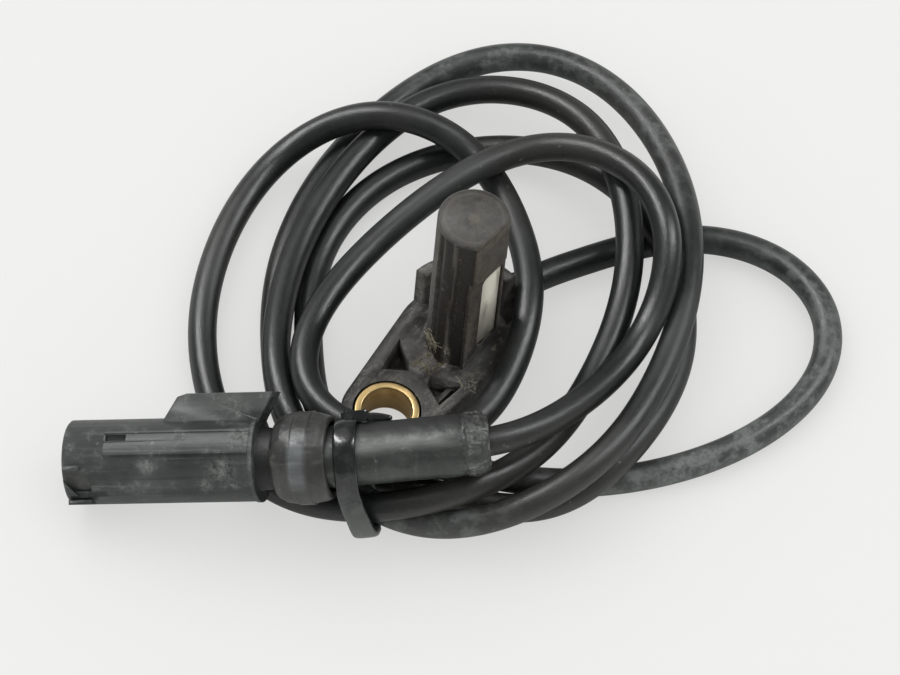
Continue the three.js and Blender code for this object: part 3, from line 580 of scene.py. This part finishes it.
def stepped(profile, step):
    """Profile of (x, r) with points added so that no stretch is longer than a step."""
    out = []
    for (x0, r0), (x1, r1) in zip(profile, profile[1:]):
        count = max(1, math.ceil(math.hypot(x1 - x0, r1 - r0) / step))
        out += [(x0 + (x1 - x0) * i / count, r0 + (r1 - r0) * i / count) for i in range(count)]
    return out + [profile[-1]]


def rounded(profile, radius, steps=4):
    """Closed profile with each corner cut into a short arc."""
    out = []
    count = len(profile)
    for i in range(count):
        before, corner, after = (Vector(profile[(i + k) % count]) for k in (-1, 0, 1))
        a, b = before - corner, after - corner
        reach = min(radius, a.length * 0.45, b.length * 0.45)
        start, end = corner + a.normalized() * reach, corner + b.normalized() * reach
        for k in range(steps + 1):
            t = k / steps
            out.append(tuple(start * (1 - t) ** 2 + corner * 2 * t * (1 - t) + end * t ** 2))
    return out


def turned(profile, place, name, segments=120, swell=None):
    """Closed (x, r) profile in millimetres turned about a frame's X axis; swell(x, r, angle) adds to r."""
    bm = bmesh.new()
    rings = []
    for k in range(segments):
        a = 2 * math.pi * k / segments
        spots = [polar(x, r + (swell(x, r, a) if swell else 0), a) * MM for x, r in profile]
        rings.append([bm.verts.new(place @ spot) for spot in spots])
    skin(bm, rings, looped=True)
    bmesh.ops.remove_doubles(bm, verts=bm.verts, dist=1e-7)
    return piece_from(bm, name, 50)


def smooth_route(points, per_span):
    """Centripetal curve through the points."""
    pts = [Vector(p) for p in points]
    pts = [2 * pts[0] - pts[1], *pts, 2 * pts[-1] - pts[-2]]
    line = []
    for p0, p1, p2, p3 in zip(pts, pts[1:], pts[2:], pts[3:]):
        d0, d1, d2 = (math.sqrt((b - a).length) for a, b in ((p0, p1), (p1, p2), (p2, p3)))
        t1 = ((p1 - p0) / d0 - (p2 - p0) / (d0 + d1) + (p2 - p1) / d1) * d1
        t2 = ((p2 - p1) / d1 - (p3 - p1) / (d1 + d2) + (p3 - p2) / d2) * d1
        for i in range(per_span):
            w = i / per_span
            cubic = (2 * p1 - 2 * p2 + t1 + t2) * w ** 3 + (3 * p2 - 3 * p1 - 2 * t1 - t2) * w ** 2
            line.append(cubic + t1 * w + p1)
    return line + [pts[-2]]


def evened(line, step):
    """The line again, as an array of points about a step apart."""
    points = np.array([tuple(p) for p in line])
    run = np.concatenate(([0.0], np.cumsum(np.linalg.norm(np.diff(points, axis=0), axis=1))))
    at = np.linspace(0, run[-1], round(run[-1] / step) + 1)
    return np.stack([np.interp(at, run, points[:, k]) for k in range(3)], axis=1)


def eased(points, radius, rounds=160):
    """Takes small kinks out of a line of points, and keeps its turns a diameter apart and in their places."""
    home, points = points.copy(), points.copy()
    count = len(points)
    near_on_line = np.abs(np.subtract.outer(range(count), range(count))) * EASE_STEP < 5 * radius
    for _ in range(rounds):
        bend = points[:-2] - 2 * points[1:-1] + points[2:]
        points[2:-2] -= EASE_RATE * (bend[:-2] - 2 * bend[1:-1] + bend[2:])
        gaps = points[:, None] - points[None]
        apart = np.linalg.norm(gaps, axis=2)
        short = np.clip(2 * radius - apart, 0, None)
        short[near_on_line] = 0
        push = gaps / np.maximum(apart, 1e-9)[:, :, None] * short[:, :, None] * PUSH_RATE
        points += push.sum(axis=1)
        points[:, 2] = np.maximum(points[:, 2], radius)
        off = points - home
        far = np.linalg.norm(off, axis=1, keepdims=True)
        points = home + off * np.minimum(1, EASE_REACH / np.maximum(far, 1e-9))
        points[:EASE_HELD[0]], points[-EASE_HELD[1]:] = home[:EASE_HELD[0]], home[-EASE_HELD[1]:]
    return points


@functools.cache
def cable_line():
    """Points along the middle of the cable."""
    radius = bpy.context.scene.sensor_looks.cable_diameter / 2
    route = [[c / TENTHS for c in point] for point in CABLE_ROUTE]
    return smooth_route(eased(evened(smooth_route(route, 12), EASE_STEP), radius), 3)


def swept(line, radius, name, sides=20):
    """Round tube along a line, closed at both ends, with a lengthwise UV map."""
    bm = bmesh.new()
    uv = bm.loops.layers.uv.new("sweep")
    count = len(line)
    tangents = [(line[min(i + 1, count - 1)] - line[max(i - 1, 0)]).normalized() for i in range(count)]
    side = tangents[0].orthogonal().normalized()
    turns = [2 * math.pi * k / sides for k in range(sides)]
    rings, run = [], [0.0]
    for i, (point, along) in enumerate(zip(line, tangents)):
        if i:
            run.append(run[-1] + (point - line[i - 1]).length)
            side = (tangents[i - 1].rotation_difference(along) @ side).normalized()
        up = along.cross(side)
        rings.append([bm.verts.new(point + (side * math.cos(a) + up * math.sin(a)) * radius) for a in turns])
    for n, face in enumerate(skin(bm, rings)):
        i, k = divmod(n, sides)
        for loop, (m, turn) in zip(face.loops, ((i, k), (i, k + 1), (i + 1, k + 1), (i + 1, k))):
            loop[uv].uv = (run[m] / SWEEP_UNIT, turn / sides)
    bm.faces.new(rings[0][::-1])
    bm.faces.new(rings[-1])
    return piece_from(bm, name, 60)


def convex(points):
    """Convex outline round flat points, counter-clockwise."""
    ordered = sorted(points)

    def half(items):
        out = []
        for p in items:
            while len(out) > 1:
                (ax, ay), (bx, by) = out[-2:]
                if (bx - ax) * (p[1] - ay) - (by - ay) * (p[0] - ax) > 1e-9:
                    break
                out.pop()
            out.append(p)
        return out[:-1]

    return half(ordered) + half(ordered[::-1])


def tied_circles(look):
    """The sleeve and the turns of the cable inside the tie, as (y, z, r) in the sleeve's frame."""
    inward = SLEEVE_FRAME.inverted()
    circles = [(0.0, 0.0, SLEEVE_R)]
    for point in cable_line():
        x, y, z = (inward @ point) / MM
        if abs(x - TIE_X) < TIE_W / 2 + 1 and z < -TIED_BELOW and math.hypot(y, z) < TIE_REACH:
            circles.append((y, z, look.cable_diameter / MM / 2))
    return circles


def strap_line(look, grow, count=140):
    """Even points on the closed line of the tie's strap, in its own plane."""
    ring = []
    for y, z, r in tied_circles(look):
        for k in range(60):
            a = 2 * math.pi * k / 60
            ring.append((y + (r + grow) * math.cos(a), z + (r + grow) * math.sin(a)))
    outline = [Vector(p) for p in convex(ring)]
    outline.append(outline[0])
    run = [0.0]
    for a, b in zip(outline, outline[1:]):
        run.append(run[-1] + (b - a).length)
    at = np.linspace(0, run[-1], count, endpoint=False)
    ys = np.interp(at, run, [p.x for p in outline])
    zs = np.interp(at, run, [p.y for p in outline])
    return list(zip(ys, zs))


class SensorLooks(bpy.types.PropertyGroup):
    """Sizes and colours of the dressed sensor."""

    cable_diameter: FloatProperty(
        name="Cable diameter", description="Outside of the sheath", default=0.0047, unit="LENGTH")
    cable_length: FloatProperty(
        name="Cable length", description="Length from the boss to the plug", default=1.2285, unit="LENGTH")
    cable_sides: IntProperty(
        name="Cable sides", description="Sides of the cable's round section", default=24, min=8, max=64)
    crumbs: IntProperty(
        name="Crumbs", description="Grains of dirt on the flange", default=260, min=0, max=2000)
    crumb_size: FloatProperty(
        name="Crumb size", description="Largest grain of dirt", default=0.0003, unit="LENGTH")
    seed: IntProperty(name="Seed", description="Seed of the scattered dirt", default=4)
    sheath_colour: FloatVectorProperty(
        name="Sheath", description="Clean cable sheath", subtype="COLOR", default=paint(20, 23, 23))
    sheath_dust: FloatVectorProperty(
        name="Sheath dust", description="Dust on the cable", subtype="COLOR", default=paint(66, 70, 67))
    body_colour: FloatVectorProperty(
        name="Head", description="Moulding of the sensor head", subtype="COLOR", default=paint(46, 44, 41))
    body_dust: FloatVectorProperty(
        name="Head dust", description="Dust on the head's upper faces", subtype="COLOR",
        default=paint(104, 101, 92))
    brass_colour: FloatVectorProperty(
        name="Brass", description="Bare brass of the bush", subtype="COLOR", default=paint(186, 162, 114))
    housing_colour: FloatVectorProperty(
        name="Housing", description="Plug housing", subtype="COLOR", default=paint(45, 49, 48))
    tie_colour: FloatVectorProperty(
        name="Tie", description="Cable tie", subtype="COLOR", default=paint(20, 22, 22))


class Step:
    """What the operators share: each builds one group of pieces."""

    bl_options = {"REGISTER", "UNDO"}

    def execute(self, context):
        self.make(context.scene.sensor_looks)
        return {"FINISHED"}


class SENSOR_OT_stage(Step, bpy.types.Operator):
    """Camera, floor and lights"""

    bl_idname = "sensor.stage"
    bl_label = "Stage"

    def make(self, look):
        scene = bpy.context.scene
        camera = bpy.data.cameras.new("view")
        camera.lens = LENS
        camera.sensor_width = 36
        camera.sensor_fit = "HORIZONTAL"
        camera.clip_start, camera.clip_end = 0.05, 20
        away = Vector((0, -math.cos(VIEW_ELEVATION), math.sin(VIEW_ELEVATION)))
        turn = (-away).to_track_quat("-Z", "Y").to_matrix().to_4x4() @ Matrix.Rotation(VIEW_ROLL, 4, "Z")
        scene.camera = linked("view", camera)
        scene.camera.matrix_world = Matrix.Translation(VIEW_TARGET + away * VIEW_DISTANCE) @ turn

        floor = Finish("floor_paper", paint(239, 239, 236), IOR=1.3, Roughness=0.9)
        floor.over(floor.noise(floor.place(), 60, 2), paint(242, 242, 240))
        floor.feed(Base_Color=floor.colour)
        self.lift(floor)
        bm = bmesh.new()
        bmesh.ops.create_grid(bm, x_segments=2, y_segments=2, size=FLOOR_REACH)
        ground = piece_from(bm, "floor")
        ground.location.z = -FLOOR_DROP
        ground.data.materials.append(floor.material)

        lamps = (
            ("window_light", (-0.5, 0.6, 1.2), (1.1, 1.1), 2.6, (1.0, 0.99, 0.97), True),
            ("left_strip", (-0.62, 0.42, 0.95), (0.14, 1.0), 12.5, (1.0, 1.0, 1.0), False),
            ("right_strip", (0.7, 0.3, 0.95), (0.1, 0.9), 8.5, (0.98, 0.99, 1.0), False),
        )
        for name, spot, (wide, tall), power, colour, lights_floor in lamps:
            lamp = bpy.data.lights.new(name, "AREA")
            lamp.shape, lamp.size, lamp.size_y = "RECTANGLE", wide, tall
            lamp.energy, lamp.color = power, colour
            holder = linked(name, lamp)
            holder.location = spot
            holder.rotation_euler = (-Vector(spot)).to_track_quat("-Z", "Y").to_euler()
            holder.visible_diffuse = lights_floor
        scene.world = bpy.data.worlds.new("room")
        scene.world.use_nodes = True
        tree = scene.world.node_tree
        room = next(n for n in tree.nodes if n.type == "BACKGROUND")
        glossy = add_node(tree, "ShaderNodeLightPath").outputs["Is Glossy Ray"]
        strength = add_node(tree, "ShaderNodeMapRange", {
            "Value": glossy, "To Min": ROOM_LIGHT, "To Max": ROOM_GLOSS})
        put(tree, room.inputs["Color"], (0.985, 0.99, 1.0))
        put(tree, room.inputs["Strength"], strength.outputs[0])
        scene.view_settings.view_transform = "Standard"

    def lift(self, floor):
        """The camera sees the floor part way towards its lit colour, so that its shadows are pale."""
        seen = floor.add("ShaderNodeLightPath")
        glow = floor.add("ShaderNodeEmission", {"Color": paint(241, 241, 239), "Strength": 1.0})
        mixed = floor.add("ShaderNodeMixShader", [seen * SHADOW_LIFT, floor.shader.outputs[0], glow])
        out = next(n for n in floor.tree.nodes if n.type == "OUTPUT_MATERIAL")
        put(floor.tree, out.inputs["Surface"], mixed)


class SENSOR_OT_cable(Step, bpy.types.Operator):
    """The coiled cable, swept along its route"""

    bl_idname = "sensor.cable"
    bl_label = "Cable"

    def make(self, look):
        line = cable_line()
        cable = swept(line, look.cable_diameter / 2, "cable_sheath", look.cable_sides)
        own(cable, sheath_finish(look), "sheath", "cable")


class SENSOR_OT_head(Step, bpy.types.Operator):
    """Sensor head, its brass bush and the carrier in its window"""

    bl_idname = "sensor.head"
    bl_label = "Sensor head"

    def make(self, look):
        moulding = merged_copy("sensor_body", "head_moulding")
        self.round_probe(moulding.data)
        own(moulding, moulding_finish(look), "body", "sensor_body")
        own(merged_copy("inner_carrier", "window_carrier"), carrier_finish(), "carrier", "inner_carrier")
        bore, outside, length = 4.1, 5.3, 6.2
        ring = [(0, bore), (0, outside), (length, outside), (length, bore)]
        up = HEAD_FRAME @ Matrix.Translation((BUSH_X * MM, 0, 0)) @ Matrix.Rotation(math.radians(-90), 4, "Y")
        own(turned(rounded(ring, 0.32), up, "brass_bush", 128), bush_finish(look), "brass", "bolt_bush")
        self.gland(look)

    def round_probe(self, mesh):
        """Gives the probe's round faces the normals of a true cylinder."""
        inward, turn = HEAD_FRAME.inverted(), HEAD_FRAME.to_3x3()
        near, aligned = 0.12, 0.98
        normals = [tuple(n.vector) for n in mesh.corner_normals]
        for face in mesh.polygons:
            for i in face.loop_indices:
                spot = inward @ mesh.vertices[mesh.loops[i].vertex_index].co / MM
                out = turn @ Vector((spot.x, spot.y, 0)).normalized()
                reach = math.hypot(spot.x, spot.y)
                if min(abs(reach - r) for r in PROBE_RADII) < near and face.normal.dot(out) > aligned:
                    normals[i] = tuple(out)
        mesh.normals_split_custom_set(normals)

    def gland(self, look):
        """Soft ring of moulding where the cable leaves the boss."""
        line = cable_line()
        start = next(i for i, p in enumerate(line) if (p - line[0]).length > GLAND_AT)
        out = line[start + 2] - line[start - 1]
        place = Matrix.Translation(line[start]) @ out.to_track_quat("X", "Z").to_matrix().to_4x4()
        profile = [(-0.6, 2.45), (-0.6, 3.3), (0.5, 3.2), (1.5, 2.75), (2.1, 2.45)]
        lip = turned(rounded(profile, 0.3), place, "cable_gland", 64)
        own(lip, bpy.data.materials["head_moulding"], "body")


class SENSOR_OT_dirt(Step, bpy.types.Operator):
    """Grains of dirt and short straw fibres on the head, scattered by Geometry Nodes"""

    bl_idname = "sensor.dirt"
    bl_label = "Dirt on the head"

    def make(self, look):
        patch, area = self.patch()
        crumb = self.crumb(look.crumb_size)
        tree = bpy.data.node_groups.new("scattered_crumbs", "GeometryNodeTree")
        face = tree.interface
        face.new_socket("Geometry", in_out="INPUT", socket_type="NodeSocketGeometry")
        inputs = []
        for name, kind, value in (
                ("Count", "Int", look.crumbs), ("Seed", "Int", look.seed),
                ("Smallest", "Float", SMALLEST_CRUMB)):
            socket = face.new_socket(name, in_out="INPUT", socket_type=f"NodeSocket{kind}")
            inputs.append((socket.identifier, value))
        face.new_socket("Geometry", in_out="OUTPUT", socket_type="NodeSocketGeometry")

        def node(kind, values=(), **settings):
            return add_node(tree, kind, values, **settings).outputs

        source = node("NodeGroupInput")
        seed = source["Seed"]
        density = node("ShaderNodeMath", [source["Count"], area], operation="DIVIDE")[0]
        points = node("GeometryNodeDistributePointsOnFaces", {
            "Mesh": source["Geometry"], "Density": density, "Seed": seed})
        size = node("FunctionNodeRandomValue", {2: source["Smallest"], "Seed": seed}, data_type="FLOAT")[1]
        full = (6.28, 6.28, 6.28)
        turn = node("FunctionNodeRandomValue", {1: full, "Seed": seed}, data_type="FLOAT_VECTOR")[0]
        grain = node("GeometryNodeObjectInfo", {"Object": crumb})
        placed = node("GeometryNodeInstanceOnPoints", {
            "Points": points["Points"], "Instance": grain["Geometry"], "Rotation": turn, "Scale": size})
        whole = node("GeometryNodeRealizeInstances", placed)
        dirt = plain_finish("crumb_soil", (92, 84, 66), (146, 132, 100), 900, 0.8)
        finish = node("GeometryNodeSetMaterial", {"Geometry": whole[0], "Material": dirt})
        node("NodeGroupOutput", finish)

        added = patch.modifiers.new("scatter", "NODES")
        added.node_group = tree
        for identifier, value in inputs:
            added[identifier] = value
        seen = patch.evaluated_get(bpy.context.evaluated_depsgraph_get())
        mesh = bpy.data.meshes.new_from_object(seen)
        patch.modifiers.remove(added)
        bpy.data.objects.remove(patch)
        bpy.data.objects.remove(crumb)
        if not mesh.polygons:
            raise RuntimeError("no crumbs were scattered")
        own(linked("flange_crumbs", mesh), dirt, "body")
        self.fibres()

    def patch(self):
        """Upper faces of the head near the foot of the probe, where the dirt gathers, and their area."""
        bm = bmesh.new()
        bm.from_mesh(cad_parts["sensor_body"].data)
        inward = HEAD_FRAME.inverted()
        dropped = []
        for face in bm.faces:
            middle = inward @ face.calc_center_median() / MM
            near = any(math.hypot(middle.x - x, middle.y - y) < reach for x, y, reach in DIRT_SPOTS)
            round_enough = face.calc_area() > 0.02 * face.calc_perimeter() ** 2
            if not (face.normal.z > 0.7 and near and round_enough and 1 < middle.z < 16):
                dropped.append(face)
        bmesh.ops.delete(bm, geom=dropped, context="FACES")
        area = sum(face.calc_area() for face in bm.faces)
        return piece_from(bm, "dirt_patch"), area

    def crumb(self, size):
        """One grain: a rough small lump."""
        bm = bmesh.new()
        bmesh.ops.create_icosphere(bm, subdivisions=1, radius=size)
        for vert in bm.verts:
            vert.co *= 0.65 + 0.5 * noise.noise(vert.co * 4200)
            vert.co.z *= 0.6
        return piece_from(bm, "crumb")

    def fibres(self):
        """Dry fibres: a curly tuft on the side of the probe, and every fifth one loose on the flange."""
        rand = random.Random(11)
        bm = bmesh.new()
        for k in range(FIBRES):
            turn, height = math.radians(rand.gauss(160, 7)), rand.uniform(9.4, 11.8)
            reach, heading, curl = 6.05, rand.uniform(0, 2 * math.pi), rand.uniform(-1.1, 1.1)
            spots = []
            if k % 5 == 0:
                start = Vector((rand.uniform(-8, -5), rand.uniform(-9, -5.5), rand.uniform(6.2, 6.5)))
                side = Vector((rand.uniform(-2.4, 2.4), rand.uniform(-1.6, 1.6), 0.1))
                for t in range(FIBRE_POINTS):
                    spots.append(start + side * t / 8 + Vector((0, 0.3 * math.sin(t), 0.1)))
            else:
                for t in range(FIBRE_POINTS):
                    spots.append(Vector((math.cos(turn), math.sin(turn), 0)) * reach + Vector((0, 0, height)))
                    turn += math.cos(heading) * FIBRE_STEP / reach
                    height += math.sin(heading) * FIBRE_STEP
                    reach = max(5.95, reach + rand.uniform(-0.12, 0.16))
                    heading += curl * rand.uniform(0.2, 0.9)
            line = smooth_route([HEAD_FRAME @ (p * MM) for p in spots], 2)
            strand = swept(line, FIBRE_RADIUS, "strand", 5)
            bm.from_mesh(strand.data)
            bpy.data.objects.remove(strand)
        straw = plain_finish("straw_fibre", (176, 170, 150), (138, 130, 106), 500, 0.6)
        own(piece_from(bm, "caught_fibres", 60), straw, "body")


class SENSOR_OT_plug(Step, bpy.types.Operator):
    """Plug housing, its rubber boot and the sleeve behind it"""

    bl_idname = "sensor.plug"
    bl_label = "Plug"

    def make(self, look):
        housing = merged_copy("connector_housing", "plug_housing", 20)
        inward = PLUG_FRAME.inverted()
        for vert in housing.data.vertices:
            spot = inward @ vert.co
            spot.x += MOUTH_BACK * max(0.0, 1 - spot.x / MOUTH_FADE)
            vert.co = PLUG_FRAME @ spot
        own(housing, housing_finish(look), "housing", "connector_housing")
        neck = [(30.2, 3.6), (30.2, 6.6), (31.4, 6.6), (31.9, 5.1), (33.6, 4.9), (36.2, 4.7), (36.2, 3.6)]
        plastic = plain_finish("neck_plastic", (20, 21, 20), (32, 33, 32), 300, 0.5)
        own(turned(rounded(neck, 0.2), PLUG_FRAME, "housing_neck", 96), plastic, "insert", "neck_ring")
        self.skirt()
        self.boot()
        self.sleeve()

    def skirt(self):
        """Inner wall of the socket, which shows through the notch at its mouth."""
        bm = bmesh.new()
        walls = []
        for r in SKIRT_RADII:
            wall = []
            for a in np.linspace(*SKIRT_ANGLES, 25):
                dents = [(x, 0.2 * noise.noise(Vector((x, a * 3, 0)))) for x in np.linspace(*SKIRT_RUN, 15)]
                wall.append([bm.verts.new(PLUG_FRAME @ (polar(x, r + dent, a) * MM)) for x, dent in dents])
            walls.append(wall)
            skin(bm, wall, closed=False)
        for end in (0, -1):
            skin(bm, [wall[end] for wall in walls], closed=False)
            skin(bm, [[line[end] for line in wall] for wall in walls], closed=False)
        worn = plain_finish("skirt_plastic", (44, 45, 43), (92, 92, 87), 330, 0.5)
        own(piece_from(bm, "socket_skirt", 50), worn, "insert")

    def boot(self):
        """Rubber boot, dented on its outside."""
        profile = [
            (34.3, 3.5), (34.3, 5.4), (34.9, 6.3), (36.2, 7.0), (38.0, 7.3), (38.2, 7.42), (40.6, 7.42),
            (40.8, 7.2), (42.6, 6.85), (43.3, 6.6), (43.5, 6.3), (43.5, 5.55), (39.2, 5.55), (39.2, 3.5),
        ]

        def swell(x, r, angle):
            if r < 5.9:
                return 0
            spot = polar(x * 0.5, 3, angle)
            return 0.13 * noise.noise(spot) + 0.04 * noise.noise(spot * 4)

        line = stepped(rounded(profile, 0.22), 0.4)
        piece = turned(line, PLUG_FRAME, "rubber_boot", 160, swell)
        tones = (paint(44, 45, 43), paint(68, 69, 66), paint(112, 113, 108))
        # The finish paints a highlight band round the boot.
        finish = rubber_finish("boot_rubber", PLUG_FRAME, *tones, 0.32, painted_highlight_span=(0.0377, 0.0407))
        own(piece, finish, "boot", "boot")

    def sleeve(self):
        """Rubber sleeve, with a crusty collar at its end and a bare round mark on its side."""
        x0, x1 = SLEEVE_START, SLEEVE_END
        collar = x1 - 4.3
        bore = 2.65
        mark_x, mark_z, inner, outer = 12.4, -1.3, 1.55, 1.9
        profile = [
            (x0, 2.1), (x0, 4.5), (x0 + 0.5, SLEEVE_R), (collar - 0.6, 4.95), (collar + 0.1, 4.75),
            (collar + 0.7, 5.1), (x1 - 2.0, 5.15), (x1 - 1.0, 4.7), (x1 - 0.2, 4.1), (x1 - 0.2, bore + 0.4),
            (x1 - 1.5, bore), (x1 - 20.3, bore), (x1 - 20.3, 2.1),
        ]

        def swell(x, r, angle):
            if r < 4:
                return 0
            spot = polar(x * 0.55, 2.6, angle)
            more = 0.07 * noise.noise(spot) + 0.02 * noise.noise(spot * 4)
            if x > collar - 0.5:
                crust = polar(x * 2.6, 4, angle)
                more += 0.24 * noise.noise(crust) + 0.1 * noise.noise(crust * 3)
            y, z = r * math.cos(angle), r * math.sin(angle)
            mark = math.hypot(x - mark_x, z - mark_z) if y < 0 else math.inf
            if mark < inner:
                more -= 0.24 * min(1, (inner - mark) / 0.2)
            elif mark < outer:
                more += 0.1 * (outer - mark) / (outer - inner)
            return more

        line = stepped(rounded(profile, 0.35), 0.28)
        piece = turned(line, SLEEVE_FRAME, "strain_sleeve", 192, swell)
        tones = (paint(43, 47, 44), paint(64, 68, 64), paint(104, 107, 102))
        # The finish paints a highlight streak along the sleeve and darkens its top as painted shade.
        finish = rubber_finish(
            "sleeve_rubber", SLEEVE_FRAME, *tones, 0.26, crust_from=collar * MM, painted_highlight_height=0.0012)
        own(piece, finish, "sleeve", "strain_relief_sleeve")


class SENSOR_OT_tie(Step, bpy.types.Operator):
    """Cable tie: strap, locking head and cut tail"""

    bl_idname = "sensor.tie"
    bl_label = "Cable tie"

    def make(self, look):
        bm = bmesh.new()
        half, edge = TIE_W / 2, 0.16
        right = [
            (half - edge, 0), (half, edge), (half, TIE_T - 0.3), (half - 0.12, TIE_T - 0.1),
            (half - 0.4, TIE_T), (half * 0.4, TIE_T + 0.07),
        ]
        section = right + [(-u, w) for u, w in reversed(right)]
        rings = []
        for a, b in zip(strap_line(look, TIE_GAP), strap_line(look, TIE_GAP + TIE_T)):
            a, b = Vector(a), Vector(b)
            swing, slack = self.lean(b)
            out = (b - TIE_MIDDLE).normalized() * slack
            a, b = a + out, b + out
            spots = [(TIE_X + u + swing, *a.lerp(b, w / TIE_T)) for u, w in section]
            rings.append([bm.verts.new(SLEEVE_FRAME @ (Vector(spot) * MM)) for spot in spots])
        skin(bm, rings, looped=True)
        nylon = tie_finish(look)
        own(piece_from(bm, "tie_strap", 50), nylon, "tie", "cable_tie")
        top = SLEEVE_R + TIE_GAP + TIE_T
        own(self.head(top), nylon, "tie")
        own(self.tail(top), nylon, "tie")

    def tail(self, top):
        """Cut end of the strap, which leaves the head along the sleeve and curves down over its top."""
        bm = bmesh.new()
        steps, left, right, edge = 16, -0.7, 2.5, 0.15
        start, length, rise, drop, full, thinning = 7.2, 4.0, 0.35, 0.85, 1.4, 0.8
        rings = []
        for i in range(steps + 1):
            t = i / steps
            x, z, thick = start + length * t, top + rise - drop * t ** 2, full - thinning * t ** 2
            inset = 0.1 if i in (0, steps) else 0.0
            y0, y1, z0, z1 = left + inset, right - inset, z - thick + inset, z - inset
            section = (
                (y0, z0 + edge), (y0 + edge, z0), (y1 - edge, z0), (y1, z0 + edge), (y1, z1 - edge),
                (y1 - edge, z1), (y0 + edge, z1), (y0, z1 - edge),
            )
            rings.append([bm.verts.new(SLEEVE_FRAME @ (Vector((x, y, w)) * MM)) for y, w in section])
        skin(bm, rings)
        bm.faces.new(rings[0])
        bm.faces.new(rings[-1])
        return piece_from(bm, "tie_tail", 50)

    def lean(self, p):
        """How far the strap swings along the sleeve, and stands off, at each point of its loop."""
        turn = math.degrees(math.atan2(p.y - TIE_MIDDLE.y, p.x - TIE_MIDDLE.x)) % 360
        return [float(np.interp(turn, *zip(*table), period=360)) for table in (TIE_SWING, TIE_SLACK)]

    def head(self, top):
        """Locking head: a box with rounded edges in the sleeve's frame, with a square pit on top."""
        spans = [*TIE_HEAD[:2], [top + z for z in TIE_HEAD[2]]]
        bm = bmesh.new()
        bmesh.ops.create_cube(bm, size=1)
        for vert in bm.verts:
            vert.co = Vector([(a + b) / 2 + (b - a) * c for (a, b), c in zip(spans, vert.co)])
        upper = max(bm.faces, key=lambda f: f.calc_center_median().z)
        bmesh.ops.inset_region(bm, faces=[upper], thickness=1.1)
        bmesh.ops.translate(bm, verts=upper.verts, vec=(0, 0, -0.5))
        sharp = [e for e in bm.edges if e.calc_face_angle(0) > 0.5]
        bmesh.ops.bevel(bm, geom=sharp, offset=0.45, segments=4, affect="EDGES", clamp_overlap=True)
        bmesh.ops.transform(bm, matrix=SLEEVE_FRAME @ Matrix.Scale(MM, 4), verts=bm.verts)
        return piece_from(bm, "tie_head")


class SENSOR_OT_inside(Step, bpy.types.Operator):
    """Materials of the pieces inside the probe and the plug"""

    bl_idname = "sensor.inside"
    bl_label = "Inner pieces"

    def make(self, look):
        for names, finish in INNER_FINISHES:
            material = plain_finish(*finish)
            for name in names:
                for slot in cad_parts[name].material_slots:
                    slot.material = material


class SENSOR_OT_cord_facts(Step, bpy.types.Operator):
    """Works out the cable's middle line"""

    bl_idname = "sensor.cord_facts"
    bl_label = "Cable facts"

    def make(self, look):
        line = cable_line()


class SENSOR_PT_panel(bpy.types.Panel):
    """Steps that build the sensor, in their order"""

    bl_idname = "SENSOR_PT_panel"
    bl_label = "Wheel speed sensor"
    bl_space_type = "VIEW_3D"
    bl_region_type = "UI"
    bl_category = "Sensor"

    def draw(self, context):
        for step in STEPS:
            self.layout.operator(step.bl_idname)
        for name in SensorLooks.__annotations__:
            self.layout.prop(context.scene.sensor_looks, name)


STEPS = (
    SENSOR_OT_stage, SENSOR_OT_cable, SENSOR_OT_head, SENSOR_OT_dirt, SENSOR_OT_plug, SENSOR_OT_tie,
    SENSOR_OT_inside, SENSOR_OT_cord_facts,
)
CLASSES = (SensorLooks, *STEPS, SENSOR_PT_panel)


def register():
    for cls in CLASSES:
        bpy.utils.register_class(cls)
    bpy.types.Scene.sensor_looks = PointerProperty(type=SensorLooks)


def unregister():
    del bpy.types.Scene.sensor_looks
    for cls in reversed(CLASSES):
        bpy.utils.unregister_class(cls)


def main():
    register()
    for step in STEPS:
        group, name = step.bl_idname.split(".")
        if getattr(getattr(bpy.ops, group), name)() != {"FINISHED"}:
            raise RuntimeError(f"{step.bl_label} did not finish")


if __name__ == "__main__":
    main()
